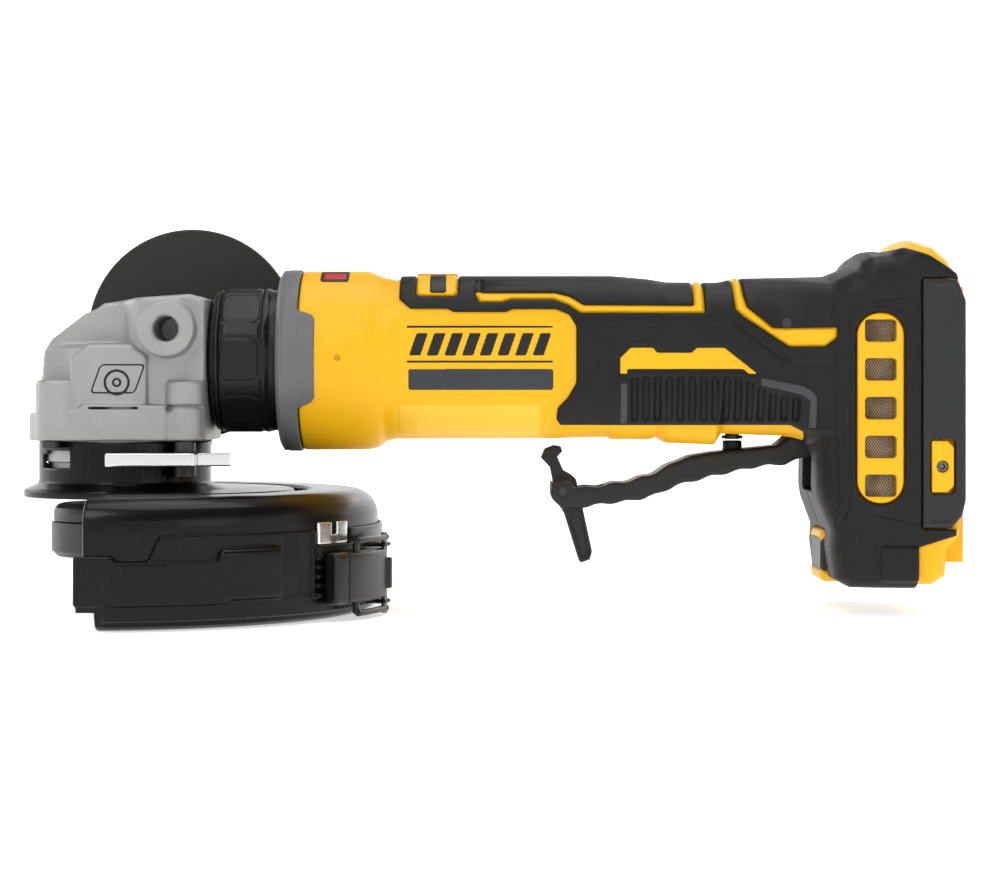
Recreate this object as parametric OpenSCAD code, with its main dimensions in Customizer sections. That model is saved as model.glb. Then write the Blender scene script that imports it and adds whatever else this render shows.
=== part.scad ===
// Cordless angle grinder with a paddle switch, a quick-turn guard and a side handle.
// The origin is on the spindle axis, at the seat where a wheel lies. +X runs along the
// motor to the battery foot, +Z from the wheel up to the motor, -Y is the near side.

/* [Overall] */
// Height of the motor axis above the wheel seat
motor_z = 54; // [50:0.5:66]
// Distance from the spindle to the rear face of the foot
tool_l = 280; // [262:1:340]
// Wall of the plastic housing
wall = 2.6; // [2.2:0.1:3.2]
// Thickness of the soft overmould
overmould_t = 1.2; // [0.8:0.1:2]
// Gap between parts that don't touch
gap = 0.3; // [0.2:0.05:0.5]
// Radial clearance of a pin in its hole
pin_gap = 0.05; // [0.02:0.01:0.08]

/* [Gear head] */
// Half width of the gear case over its lower flange
case_half = 29.5; // [28:0.5:36]
// Distance from the spindle to the joint with the nose
case_back = 30.3; // [29.5:0.1:36]
// Radius of the spindle thread
thread_r = 7; // [5:0.1:8]
// Length of the free spindle end below the wheel seat
thread_l = 16; // [13:0.5:24]
// Pitch radius of the ring gear
ring_r = 22; // [21:0.1:22.5]
// Teeth on the ring gear
ring_teeth = 37; // [31:1:41]
// Teeth on the pinion
pinion_teeth = 11; // [10:1:13]
// Width of the gear teeth
tooth_w = 5.5; // [4:0.1:6]
// Wall radius of the side handle's threaded holes
handle_hole_r = 4.25; // [3:0.05:4.5]
// Distance of the handle axis from the spindle
handle_x = 17.9; // [17:0.1:20]
// Height of the handle axis above the motor axis
handle_up = 10; // [8:0.1:12]
// Travel of the spindle lock button
lock_travel = 3.2; // [2.4:0.1:3.6]

/* [Side handle] */
// Radius of the flange disc
disc_r = 37.3; // [30:0.1:48]
// Length of the grip behind the disc
grip_len = 112; // [85:1:140]
// Radius of the grip
side_grip_r = 15; // [12:0.5:19]

/* [Guard] */
// Outer radius of the guard wall
guard_r = 85.7; // [72:0.1:103]
// Outer radius of the guard collar
collar_r = 29; // [28.5:0.1:30]
// Depth from the guard roof to the lower edge of the cover
guard_depth = 40.6; // [34:0.1:48]
// Sheet thickness of the guard
guard_t = 1.6; // [1.2:0.1:2]
// Angle at which the guard wall starts
guard_start = -90; // [-100:1:-80]
// Angle that the guard wall covers
guard_arc = 184; // [180:1:215]

/* [Motor] */
// Radius of the round motor housing
barrel_r = 30.3; // [29:0.1:36]
// Length of the motor core
core_l = 22; // [16:0.5:23]
// Radius of the motor shaft in its rear bearing
shaft_r = 4; // [3.5:0.1:4.4]

/* [Grip and foot] */
// Full height of the grip
grip_h = 54.6; // [50:0.1:60]
// Full width of the grip
grip_w = 55; // [50:0.5:60]
// Full width of the foot
foot_w = 72; // [66:0.5:88]
// Length of the foot along the tool
foot_l = 50.5; // [46:0.5:60]
// Distance from the motor axis down to the foot's lowest point
foot_down = 74.5; // [66:0.5:84]

/* [Paddle] */
// Distance between the paddle's two pins
paddle_l = 86.7; // [76:0.1:96]
// Width of the paddle
paddle_w = 21; // [17:0.5:24]
// Travel of the paddle in degrees
paddle_turn = 7; // [5:0.1:7]
// Degrees of lock-off lever turn for each degree of the paddle
lock_ratio = 7; // [6.5:0.1:7]
// Radius of the lever pins
pin_r = 1.5; // [1.2:0.1:1.8]

/* [Hidden] */
$fn = 48;
eps = 0.01;

// Gear geometry: both pitch cones meet where the spindle and motor axes cross.
pinion_r = ring_r * pinion_teeth / ring_teeth;
gear_module = 2 * ring_r / ring_teeth;
pressure = 25;
tooth_backlash = 0.16;
inner_scale = 1 - tooth_w / ring_r;
ring_body_r = ring_r + 0.6;
ring_floor = motor_z - 14;
web_t = 4;
lock_x = 12.4;
lock_pin_r = 2.2;
button_r = 4.8;
button_z = motor_z + 8.4;

// Heights in the gear head.
flange_hub_top = 11;
case_floor = motor_z - 27;
bearing_r = 17.5;
bearing_in = 7.5;
bearing_l = 11;
bearing_z = case_floor + 0.6;
bush_r = 6.5;
bush_in = 4;
bush_z = motor_z + 5;
bush_l = 8;
nut_z = -12;
nut_r = 24.8;
flange_r = 24;
flange_h = 5.9;
pilot_r = 11.1;
cavity_r = 23.4;
spigot_r = collar_r - 1.7;
spigot_z = 12;
roof_z = motor_z - 43.4;
collar_top = case_floor - 0.6;
posts = [[-20.8, -25], [-20.8, 25], [23.5, 23]];
near_post = [23.5, -23];
post_r = 6;
lever_z = motor_z - 35.2;
lever_t = 4.5;
lever_x = 23.5;
lever_y = -25;

// Places along the motor.
nose_l = 23;
nose_r = 24.8;
ring_x = case_back + nose_l;
ring_l = 7.5;
barrel_x = ring_x + ring_l;
barrel_l = 21;
grip_x = barrel_x + barrel_l;
front_bearing_x = case_back - 0.4;
front_bearing_r = 13;
front_bearing_l = 8;
core_x = barrel_x + 1;
core_r = barrel_r - wall - 0.3;
rotor_r = 12.6;
core_in = rotor_r + 0.7;
winding_l = 7;
board_x = core_x + core_l + winding_l + 0.4;
rear_bearing_x = board_x + 5;
rear_bearing_r = 11;
rear_bearing_l = 7;
shaft_end = rear_bearing_x + rear_bearing_l + 1;
bulkhead_t = rear_bearing_l + 1.2;

// Places of the foot, from its front face.
foot_x = tool_l - foot_l;
foot_z = motor_z - foot_down;
foot_top = motor_z + 40.6;
grip_top = motor_z + grip_h / 2 + 0.7;
grip_floor = grip_top - grip_h;
dock_x = tool_l - 13;
dock_half = 30;
dock_top = motor_z + 24;
panel_t = 2;

// Paddle places.
hinge_x = foot_x + 5.6;
hinge_z = motor_z - 27.4;
paddle_tip_x = hinge_x - paddle_l;
paddle_tip_z = motor_z - 44.2;
plunger_x = hinge_x - 28.9;
plunger_z = motor_z - 25.7;

module x_bar(x, l, r, z = motor_z, y = 0)
    translate([x, y, z]) rotate([0, 90, 0]) cylinder(r = r, h = l);

module y_bar(x, z, r, half) translate([x, 0, z]) rotate([90, 0, 0])
    cylinder(r = r, h = 2 * half, center = true);

module z_bar(x, y, z, r, l) translate([x, y, z]) cylinder(r = r, h = l);

// A profile of [radius, distance] points turned round the motor axis from x on.
module x_turn(x, points) translate([x, 0, motor_z]) rotate([0, 90, 0])
    rotate_extrude() polygon(points);

// A profile of [x, z] points drawn to both sides of the middle plane.
module side_plate(half) rotate([90, 0, 0])
    linear_extrude(height = 2 * half, center = true) children();

module rounded(w, h, r) {
    square([w - 2 * r, h], center = true);
    square([w, h - 2 * r], center = true);
    for (sx = [-1, 1], sy = [-1, 1])
        translate([sx * (w / 2 - r), sy * (h / 2 - r)]) circle(r = r);
}

module block(x0, x1, y0, y1, z0, z1) translate([x0, y0, z0])
    cube([x1 - x0, y1 - y0, z1 - z0]);

module ring(r_out, r_in, l) difference() {
    cylinder(r = r_out, h = l);
    translate([0, 0, -1]) cylinder(r = r_in, h = l + 2);
}

// ---- Bevel gear teeth -------------------------------------------------------------

function involute(a) = tan(a) - a * PI / 180;

// Half the angle that a tooth of z teeth and pitch radius r fills at radius q.
function tooth_half(z, r, q, slack) = let(base = r * cos(pressure),
    a = acos(min(1, base / max(q, base))))
    (PI / 2 / z - slack / 4 / r + involute(pressure) - involute(a)) * 180 / PI;

// One tooth's outline on the back cone, as [turn, height above the pitch cone].
function tooth_points(z, r, slack) = let(add = 0.8 * gear_module, ded = gear_module,
    levels = [-ded, -0.35 * add, 0.3 * add, add])
    concat([for (h = levels) [-tooth_half(z, r, r + h, slack), h]],
        [for (i = [3:-1:0]) [tooth_half(z, r, r + levels[i], slack), levels[i]]]);

// Rings of points for a gear of n teeth, pitch radius r and cone distance d.
function gear_ring(n, r, d, k) = let(tilt = atan(r / d), virtual_r = r / cos(tilt),
    tooth = tooth_points(n / cos(tilt), virtual_r, tooth_backlash))
    [for (i = [0:n - 1], p = tooth) let(a = 360 * i / n + p[0] / cos(tilt),
        q = (r + p[1] * cos(tilt)) * k)
        [q * cos(a), q * sin(a), -(d - p[1] * sin(tilt)) * k]];

function flat_ring(points, r, z) =
    [for (p = points) let(a = atan2(p[1], p[0])) [r * cos(a), r * sin(a), z]];

function strip(a, b, n) = [for (i = [0:n - 1]) let(j = (i + 1) % n)
    each [[a + i, a + j, b + j], [a + i, b + j, b + i]]];

// A closed band through four rings of points.
module gear_band(rings) {
    n = len(rings[0]);
    polyhedron(points = [for (r = rings) each r],
        faces = [for (k = [0:3]) each strip(k * n, ((k + 1) % 4) * n, n)]);
}

module ring_gear() color("dimgray") difference() {
    union() {
        outer = gear_ring(ring_teeth, ring_r, pinion_r, 1);
        inner = gear_ring(ring_teeth, ring_r, pinion_r, inner_scale);
        r_in = (ring_r - 1.2) * inner_scale;
        translate([0, 0, motor_z]) gear_band([outer,
            flat_ring(outer, ring_body_r, ring_floor - motor_z),
            flat_ring(inner, r_in, ring_floor - motor_z), inner]);
        translate([0, 0, ring_floor]) cylinder(r = r_in + 1, h = web_t);
        translate([0, 0, ring_floor]) cylinder(r = 8.4, h = web_t + 2.4);
    }
    z_bar(0, 0, ring_floor - 1, bush_in + 2.2, web_t + 5);
    for (a = [0:90:270]) rotate([0, 0, a])
        z_bar(-lock_x, 0, ring_floor - 1, lock_pin_r + 0.5, web_t + 5);
}

module pinion() color("dimgray") difference() {
    union() {
        turned = 180 / pinion_teeth * (1 - pinion_teeth % 2);
        outer = gear_ring(pinion_teeth, pinion_r, ring_r, 1);
        inner = gear_ring(pinion_teeth, pinion_r, ring_r, inner_scale);
        core = 3.4;
        translate([0, 0, motor_z]) rotate([0, -90, 0]) rotate([0, 0, turned])
            gear_band([outer, flat_ring(outer, core, -ring_r - 0.4),
                flat_ring(inner, core, -(ring_r - 1) * inner_scale), inner]);
        x_bar(ring_r * inner_scale - 0.6, ring_r * (1 - inner_scale) + 0.8, core + 0.2);
        x_bar(ring_r + 0.3, 4, pinion_r - 1);
    }
    x_bar(10, 20, 3 + eps);
}

module pinion_nut() color("silver") difference() {
    x_bar(ring_r * inner_scale - 4, 3.2, 3.6);
    x_bar(ring_r * inner_scale - 5, 6, 2.6 + eps);
}

// ---- Gear head --------------------------------------------------------------------

// The case's outline from the side, in [x, height above the motor axis].
module case_outline() polygon([
    [-case_half - 0.4, -27], [-case_half - 0.4, -6.6], [-25.5, -5.6], [-25, 3.2],
    [-22.4, 7.1], [-11.3, 15.5], [-6.8, 17.6], [-4.8, 19.1], [6.2, 20.7],
    [24.8, 22], [28, 21], [case_back, 20.4], [case_back, -22], [case_back, -27]]);

// Base plate of the case: nearly round in front, square behind.
module base_plan() intersection() {
    translate([0.2, 0]) rounded(2 * case_half + 0.8, 2 * case_half - 2, 8);
    union() {
        circle(r = case_half + 0.4);
        translate([0, 1 - case_half]) square([case_back, 2 * case_half - 2]);
        for (p = posts) translate(p) circle(r = post_r);
    }
}

module gear_case() color([0.68, 0.68, 0.67]) difference() {
    union() {
        intersection() {
            translate([0, 0, motor_z]) side_plate(case_half + 8) case_outline();
            union() {
                translate([0, 0, case_floor + 5]) linear_extrude(height = 10.4)
                    base_plan();
                z_bar(0, 0, case_floor + 5, case_half - 4.5, 60);
                x_bar(6, case_back - 6, nose_r - 3.4);
                block(0, case_back, -case_half + 6, case_half - 6, motor_z - 12, motor_z + 5);
            }
        }
        y_bar(handle_x, motor_z + handle_up, 9.4, case_half + 2.4);
        for (p = [each posts, near_post]) z_bar(p[0], p[1], case_floor + 5, post_r, 14);
    }
    z_bar(0, 0, case_floor, cavity_r, motor_z - 3.6 - case_floor);
    difference() {
        z_bar(0, 0, motor_z - 5, 17.6, 12);
        z_bar(0, 0, bush_z - 1.5, bush_r + 2.2, 20);
        z_bar(-lock_x, 0, motor_z - 2.4, button_r + 1.5, 20);
    }
    z_bar(0, 0, motor_z - 4, bush_in + 1.2, 12);
    z_bar(0, 0, bush_z, bush_r, bush_l);
    x_bar(8, case_back, 9.4);
    x_bar(front_bearing_x - 0.2, 20, front_bearing_r);
    for (side = [-1, 1]) translate([0, side * (case_half - 17.6), 0])
        handle_hole(side);
    z_bar(-lock_x, 0, motor_z - 5, lock_pin_r + pin_gap, 30);
    z_bar(-lock_x, 0, button_z - lock_travel - 0.8, button_r + gap, 30);
    for (p = posts) z_bar(p[0], p[1], case_floor, 2 + pin_gap, 16);
    z_bar(lever_x, lever_y, case_floor, 2 + pin_gap, 16);
}

module handle_hole(side) translate([handle_x, 0, motor_z + handle_up])
    rotate([-90 * side, 0, 0]) cylinder(r = handle_hole_r, h = 21);

module case_cover() color([0.62, 0.62, 0.61]) difference() {
    union() {
        translate([0, 0, case_floor]) linear_extrude(height = 5) base_plan();
        z_bar(0, 0, case_floor, cavity_r - gap, bearing_z + bearing_l - case_floor);
        z_bar(0, 0, spigot_z, spigot_r, case_floor - spigot_z + 1);
    }
    z_bar(0, 0, bearing_z, bearing_r, 30);
    z_bar(0, 0, spigot_z - 1, 9.6, 40);
    z_bar(0, 0, spigot_z - 1, spigot_r - 5.5, 10);
    translate([0, 0, spigot_z + 5]) ring(spigot_r + 1, spigot_r - 1.4, 3);
    for (p = posts) z_bar(p[0], p[1], case_floor - 1, 2 + pin_gap, 8);
    z_bar(lever_x, lever_y, case_floor - 1, 2 + pin_gap, 8);
}

module cover_screws() color("silver") for (p = posts) {
    z_bar(p[0], p[1], case_floor - 2.2, 3.1, 2.2);
    z_bar(p[0], p[1], case_floor - eps, 2, 15);
}

module spindle() color("gainsboro") difference() {
    union() {
        z_bar(0, 0, -thread_l, thread_r, thread_l + 6);
        z_bar(0, 0, 6, thread_r + 2, bearing_z - gap - 6);
        z_bar(0, 0, 6, bearing_in, bearing_z + bearing_l - 6);
        z_bar(0, 0, 30, bush_in + 2.2, ring_floor + web_t + 1.4 - 30);
        z_bar(0, 0, 30, bush_in, bush_z + bush_l - 30.6);
    }
    translate([0, 0, -thread_l - 1]) cylinder(r = 2.6, h = 8, $fn = 6);
    translate([0, 0, nut_z - 0.8]) ring(thread_r + 1, thread_r - 0.5, 0.6);
}

module spindle_bearing() color("lightgray") translate([0, 0, bearing_z])
    ring(bearing_r, bearing_in + pin_gap, bearing_l);

module bearing_ring() color("gray") translate([0, 0, bearing_z + bearing_l])
    ring(cavity_r - gap, bearing_r - 3, 1);

module spindle_bush() color("lightgray") translate([0, 0, bush_z])
    ring(bush_r, bush_in + pin_gap, bush_l - 0.6);

module lock_button() color([0.12, 0.12, 0.12]) {
    z_bar(-lock_x, 0, ring_floor + web_t + 0.6, lock_pin_r,
        button_z + 1 - ring_floor - web_t);
    intersection() {
        z_bar(-lock_x, 0, button_z, button_r, 20);
        translate([0, 0, motor_z + 0.8]) side_plate(button_r + 1) case_outline();
    }
}

// Coil drawn as a plain sleeve between the button and its seat.
module button_spring() color("silver")
    translate([-lock_x, 0, button_z - lock_travel - 0.8]) ring(4.2, 3, lock_travel + 0.8);

module backing_flange() color("gray") difference() {
    rotate_extrude() polygon(concat([[0, -1.6], [pilot_r, -1.6], [pilot_r, 0], [flange_r, 0]],
        [for (a = [0:30:90]) [flange_r - 3 + 3 * cos(a), flange_h - 3 + 3 * sin(a)]],
        [[0, flange_h]]));
    z_bar(0, 0, -3, thread_r + pin_gap, 12);
}

module clamp_nut() color("gray") difference() {
    rotate_extrude() polygon([[0, nut_z], [nut_r - 2, nut_z], [nut_r, nut_z + 2],
        [nut_r, -0.5], [0, -0.5]]);
    z_bar(0, 0, -2, pilot_r + gap, 3);
    z_bar(0, 0, nut_z - 1, thread_r + pin_gap, 12);
    for (a = [45:90:315]) rotate([0, 0, a]) z_bar(15, 0, nut_z - 1, 2.2, 7);
}

module nose_adapter() color([0.1, 0.1, 0.1]) difference() {
    x_turn(case_back, [[front_bearing_r, 0], [23.4, 0], [23.4, 3.6], [nose_r, 5.4],
        [nose_r, nose_l - 4.2], [23.4, nose_l - 2.6], [23.4, nose_l], [21, nose_l],
        [21, 11], [9.4, 11], [9.4, front_bearing_l - 0.2],
        [front_bearing_r, front_bearing_l - 0.2]]);
    for (a = [0:45:315]) translate([0, 0, motor_z]) rotate([a, 0, 0])
        block(case_back + 5.4, ring_x - 4.2, -6, 6, nose_r - 0.7, nose_r + 1);
}

module front_ring() color([0.42, 0.42, 0.42])
    x_turn(ring_x, [[21, 0], [barrel_r - 1.4, 0], [barrel_r, 1.6],
        [barrel_r + 0.4, 1.6], [barrel_r + 0.4, ring_l - gap],
        [barrel_r - wall, ring_l - gap], [barrel_r - wall, 1.2], [21, 1.2]]);

// ---- Side handle ------------------------------------------------------------------

handle_y = 36.7;

module handle_turn(points) translate([handle_x, 0, motor_z + handle_up])
    rotate([-90, 0, 0]) rotate_extrude() polygon(points);

module handle_core() color("silver") handle_turn([[0, case_half - 16],
    [handle_hole_r - pin_gap, case_half - 16], [handle_hole_r - pin_gap, handle_y - 3],
    [7, handle_y - 3], [7, handle_y + 4], [5, handle_y + 4],
    [5, handle_y + grip_len - 12], [0, handle_y + grip_len - 12]]);

module handle_disc() color([0.2, 0.2, 0.19]) handle_turn([[7, handle_y],
    [disc_r - 2, handle_y], [disc_r, handle_y + 1.5], [disc_r, handle_y + 3],
    [disc_r - 1.6, handle_y + 4.4], [7, handle_y + 4]]);

module handle_grip() color([0.16, 0.16, 0.16]) handle_turn(concat(
    [[5, handle_y + 4.4], [side_grip_r + 2, handle_y + 4.4],
        [side_grip_r + 2, handle_y + 8]],
    [for (i = [0:8]) [side_grip_r - 2 * cos(i * 45), handle_y + 14 + i
        * (grip_len - 30) / 8]],
    [[side_grip_r, handle_y + grip_len - 8], [5, handle_y + grip_len - 8]]));

module handle_cap() color([0.1, 0.1, 0.1]) handle_turn([[0, handle_y + grip_len - 7.7],
    [side_grip_r + 1, handle_y + grip_len - 7.7], [side_grip_r + 1, handle_y + grip_len - 3],
    [side_grip_r - 3, handle_y + grip_len], [0, handle_y + grip_len]]);

// ---- Guard ------------------------------------------------------------------------

cover_start = guard_start - 1.5;
cover_arc = guard_arc + 2;
band_r = guard_r + 2.1;
skirt_z = roof_z - guard_depth + 6.6;
catch_pivot_a = -15;
catch_free_a = -34;
catch_r = guard_r + 6.5;
knuckle_in = 3.2;
catch_z0 = skirt_z - 1.2;
catch_z1 = skirt_z + 15.4;
lug_t = 1.5;
wire_r = 1;

module arc_turn(start, arc, points)
    rotate_extrude(angle = arc, start = start) polygon(points);

module guard_shell() color([0.07, 0.07, 0.07]) difference() {
    union() {
        translate([0, 0, roof_z - guard_t])
            ring(collar_r, spigot_r + gap, collar_top - roof_z + guard_t);
        translate([0, 0, spigot_z + 5.3]) ring(collar_r - 0.4, spigot_r - 1.1, 2.4);
        translate([0, 0, roof_z - guard_t - 1]) ring(collar_r + 5, spigot_r + gap, 2.6);
        arc_turn(guard_start, guard_arc, concat([[collar_r - 0.4, roof_z]],
            [for (a = [90:-15:0]) [guard_r - 7 + 7 * cos(a), roof_z - 7 + 7 * sin(a)]],
            [[guard_r, skirt_z], [guard_r - guard_t, skirt_z]],
            [for (a = [0:15:90]) [guard_r - 7 + (7 - guard_t) * cos(a),
                roof_z - 7 + (7 - guard_t) * sin(a)]],
            [[collar_r - 0.4, roof_z - guard_t]]));
    }
    for (a = [150:60:300]) rotate([0, 0, a])
        block(spigot_r - 3, collar_r + 2, -5, 5, lever_z, lever_z + 5);
}

module guard_cover() color([0.06, 0.06, 0.06]) {
    low = roof_z - guard_depth;
    arc_turn(cover_start, cover_arc, [[32, low], [guard_r - 4, low],
        [guard_r + 0.4, low + 4], [guard_r + 0.8, skirt_z - 0.4],
        [band_r, skirt_z + 1.8], [band_r, skirt_z + 16.6], [guard_r + gap, skirt_z + 16.6],
        [guard_r + gap, skirt_z - gap], [guard_r - 1.6, skirt_z - gap],
        [guard_r - 1.6, low + 4.4], [guard_r - 4.6, low + 1.8], [32, low + 1.8]]);
    arc_turn(-63.4, 16, [[band_r - 0.6, skirt_z + 2], [band_r + 2.6, skirt_z + 3],
        [band_r + 2.6, skirt_z + 18], [band_r - 0.6, skirt_z + 19]]);
    arc_turn(catch_free_a - 3, catch_pivot_a - catch_free_a + 6,
        [[guard_r + gap, skirt_z + 14], [band_r, skirt_z + 14],
        [band_r, catch_z1 + gap + lug_t], [guard_r + gap, catch_z1 + gap + lug_t]]);
    for (z = [catch_z0 - gap - lug_t, catch_z1 + gap]) difference() {
        arc_turn(catch_pivot_a - 2, 4, [[guard_r + 0.5, z], [catch_r + 1.6, z],
            [catch_r + 1.6, z + lug_t], [guard_r + 0.5, z + lug_t]]);
        at_angle(catch_pivot_a, catch_r) z_bar(0, 0, z - 1, wire_r + pin_gap, 4);
    }
}

module at_angle(a, r) rotate([0, 0, a]) translate([r, 0, 0]) children();

module catch_bracket() color("silver") arc_turn(catch_free_a - 3, 11,
    [[guard_r, catch_z1 + 2.4], [guard_r + 1.2, catch_z1 + 2.4],
        [guard_r + 1.2, roof_z - 9], [guard_r, roof_z - 9]]);

module catch_lever() color([0.08, 0.08, 0.08]) difference() {
    union() {
        arc_turn(catch_free_a, catch_pivot_a - catch_free_a - 0.8, [[band_r + gap, catch_z0],
            [catch_r + 1, catch_z0], [catch_r + 1.6, catch_z0 + 2.4],
            [catch_r + 1.6, catch_z1 - 2.4], [catch_r + 1, catch_z1],
            [band_r + gap, catch_z1]]);
        at_angle(catch_pivot_a, catch_r) z_bar(0, 0, catch_z0 + knuckle_in, 2.8,
            catch_z1 - catch_z0 - 2 * knuckle_in);
    }
    at_angle(catch_pivot_a, catch_r) z_bar(0, 0, catch_z0 - 1, wire_r + pin_gap, 30);
}

wire_z = [catch_z0 - gap - lug_t - 1.6, catch_z1 + gap + lug_t + 1.6];

module catch_pin() color("silver") at_angle(catch_pivot_a, catch_r)
    z_bar(0, 0, wire_z[0] - 1.6, wire_r, wire_z[1] - wire_z[0] + 3.2);

// Wire frame: two legs on the pin's ends, joined by a post past the lever's free end.
module catch_bail() color([0.08, 0.08, 0.08]) difference() {
    union() {
        for (z = wire_z) arc_turn(catch_free_a - 2, catch_pivot_a - catch_free_a + 3.2,
            [[catch_r - wire_r, z - wire_r], [catch_r + wire_r + 0.6, z - wire_r],
            [catch_r + wire_r + 0.6, z + wire_r], [catch_r - wire_r, z + wire_r]]);
        at_angle(catch_free_a - 1.4, catch_r) z_bar(0, 0, wire_z[0], wire_r + 0.2,
            wire_z[1] - wire_z[0]);
    }
    at_angle(catch_pivot_a, catch_r) z_bar(0, 0, wire_z[0] - 3, wire_r + pin_gap, 40);
}

module guard_lever() color([0.92, 0.92, 0.92]) translate([0, 0, lever_z]) difference() {
    union() {
        linear_extrude(height = lever_t) polygon([[-1.4, -36], [-1.4, -32], [4, -30.9],
            [8, -30.4], [lever_x - 4, lever_y + 1], [lever_x + 9, lever_y - 1],
            [lever_x + 15.5, lever_y - 3], [lever_x + 15.5, lever_y - 7.4],
            [lever_x, lever_y - 7], [10, -36]]);
        translate([lever_x, lever_y, 0]) cylinder(r = 4.4, h = lever_t);
    }
    translate([0, 0, -1]) cylinder(r = collar_r + 0.4, h = lever_t + 2);
    translate([lever_x, lever_y, -1]) cylinder(r = 2 + pin_gap, h = lever_t + 2);
}

module lever_screw() color("gray") {
    z_bar(lever_x, lever_y, lever_z - 3.4, 3.6, 3.1);
    z_bar(lever_x, lever_y, lever_z - 1, 2, case_floor + 6.6 - lever_z);
}

module lever_spring() color("silver") translate([lever_x, lever_y, lever_z + lever_t + 0.4])
    ring(3.4, 2.3, case_floor - lever_z - lever_t - 0.7);

// ---- Motor ------------------------------------------------------------------------

module rotor_shaft() color("silver") {
    x_bar(ring_r * inner_scale - 4.4, ring_r * (1 - inner_scale) + 8, 2.6);
    x_bar(ring_r * inner_scale - 0.6, 12, 3);
    x_bar(ring_r + 4.5, front_bearing_x + front_bearing_l - ring_r, 5);
    x_bar(ring_r + 6, shaft_end - ring_r - 6, shaft_r);
}

module rotor() color("dimgray") difference() {
    x_bar(core_x, core_l, rotor_r);
    x_bar(core_x - 1, core_l + 2, shaft_r);
}

module stator() color([0.35, 0.35, 0.37]) difference() {
    x_bar(core_x, core_l, core_r);
    x_bar(core_x - 1, core_l + 2, core_in);
    for (a = [30:60:330]) translate([0, 0, motor_z]) rotate([a, 0, 0])
        x_bar(core_x - 1, core_l + 2, 2.6, z = 18);
}

module windings() color([0.72, 0.38, 0.18]) for (side = [0, 1])
    translate([core_x + side * core_l - (1 - side) * winding_l, 0, motor_z])
        rotate([0, 90, 0]) difference() {
            rotate_extrude() translate([(core_in + core_r) / 2, winding_l / 2])
                rounded(core_r - core_in - 8, winding_l - 0.1, 2);
        }

module fan() color([0.15, 0.15, 0.15]) difference() {
    union() {
        x_bar(case_back + 12.4, 7.6, 7);
        x_bar(case_back + 12.4, 1.2, 20);
        for (a = [0:30:330]) translate([0, 0, motor_z]) rotate([a, 0, 0])
            block(case_back + 13, case_back + 18.4, -0.6, 0.6, 6, 19.8);
    }
    x_bar(case_back + 11, 14, shaft_r);
}

module front_bearing() color("lightgray") difference() {
    x_bar(front_bearing_x, front_bearing_l, front_bearing_r);
    x_bar(front_bearing_x - 1, front_bearing_l + 2, 5 + pin_gap);
}

module rear_bearing() color("lightgray") difference() {
    x_bar(rear_bearing_x, rear_bearing_l, rear_bearing_r);
    x_bar(rear_bearing_x - 1, rear_bearing_l + 2, shaft_r + pin_gap);
}

lead_r = 1.3;
lead_out = 17;

module sensor_board() color([0.1, 0.35, 0.2]) difference() {
    x_bar(board_x, 1.6, core_r - 5);
    x_bar(board_x - 1, 4, shaft_r + 2);
    lead_bars(board_x - 1, 4, lead_r + 0.2);
}

module lead_bars(x, l, r) for (a = [-35, 0, 35]) translate([0, 0, motor_z])
    rotate([a, 0, 0]) x_bar(x, l, r, z = lead_out);

module motor_leads() color([0.15, 0.15, 0.5])
    lead_bars(core_x + core_l + winding_l + gap, module_x - core_x - core_l - winding_l
        - 2 * gap, lead_r);

// ---- Housing ----------------------------------------------------------------------

module_x = rear_bearing_x + rear_bearing_l + 6;
module_l = 42;
screw_x = [grip_x + 36, foot_x - 42, foot_x - 8];
vent_z = motor_z - 16;
vent_h = 62;
vent_w = 15;
vent_x = foot_x + 21.5;

module foot_outline() polygon([[foot_x - 24, grip_floor + 2], [foot_x + 1, grip_floor],
    [foot_x, motor_z - 33], [foot_x, motor_z - 42], [foot_x + 3, motor_z - 51],
    [foot_x + 4, motor_z - 56], [foot_x + 3, motor_z - 64], [foot_x + 6, foot_z + 1.6],
    [foot_x + 12, foot_z], [tool_l - 12, foot_z], [tool_l - 7, foot_z + 6],
    [tool_l - 2, motor_z - 54], [tool_l, motor_z - 48], [tool_l, motor_z + 22],
    [tool_l - 1.4, motor_z + 28], [tool_l - 7, motor_z + 36],
    [tool_l - 14, foot_top - 0.2], [foot_x + 34, foot_top],
    [foot_x + 27, motor_z + 37.4], [foot_x + 18, motor_z + 36.4],
    [foot_x + 14.4, motor_z + 32], [foot_x + 4.5, motor_z + 26.3],
    [foot_x - 24, motor_z + 25]]);

module foot_plan(half) polygon([[foot_x - 30, -grip_w / 2 + 2], [foot_x - 4, -grip_w / 2 + 1],
    [foot_x + 12, -half + 2.5], [foot_x + 20, -half], [tool_l - 4, -half],
    [tool_l, -half + 4], [tool_l, half - 4], [tool_l - 4, half], [foot_x + 20, half],
    [foot_x + 12, half - 2.5], [foot_x - 4, grip_w / 2 - 1],
    [foot_x - 30, grip_w / 2 - 2]]);

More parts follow.
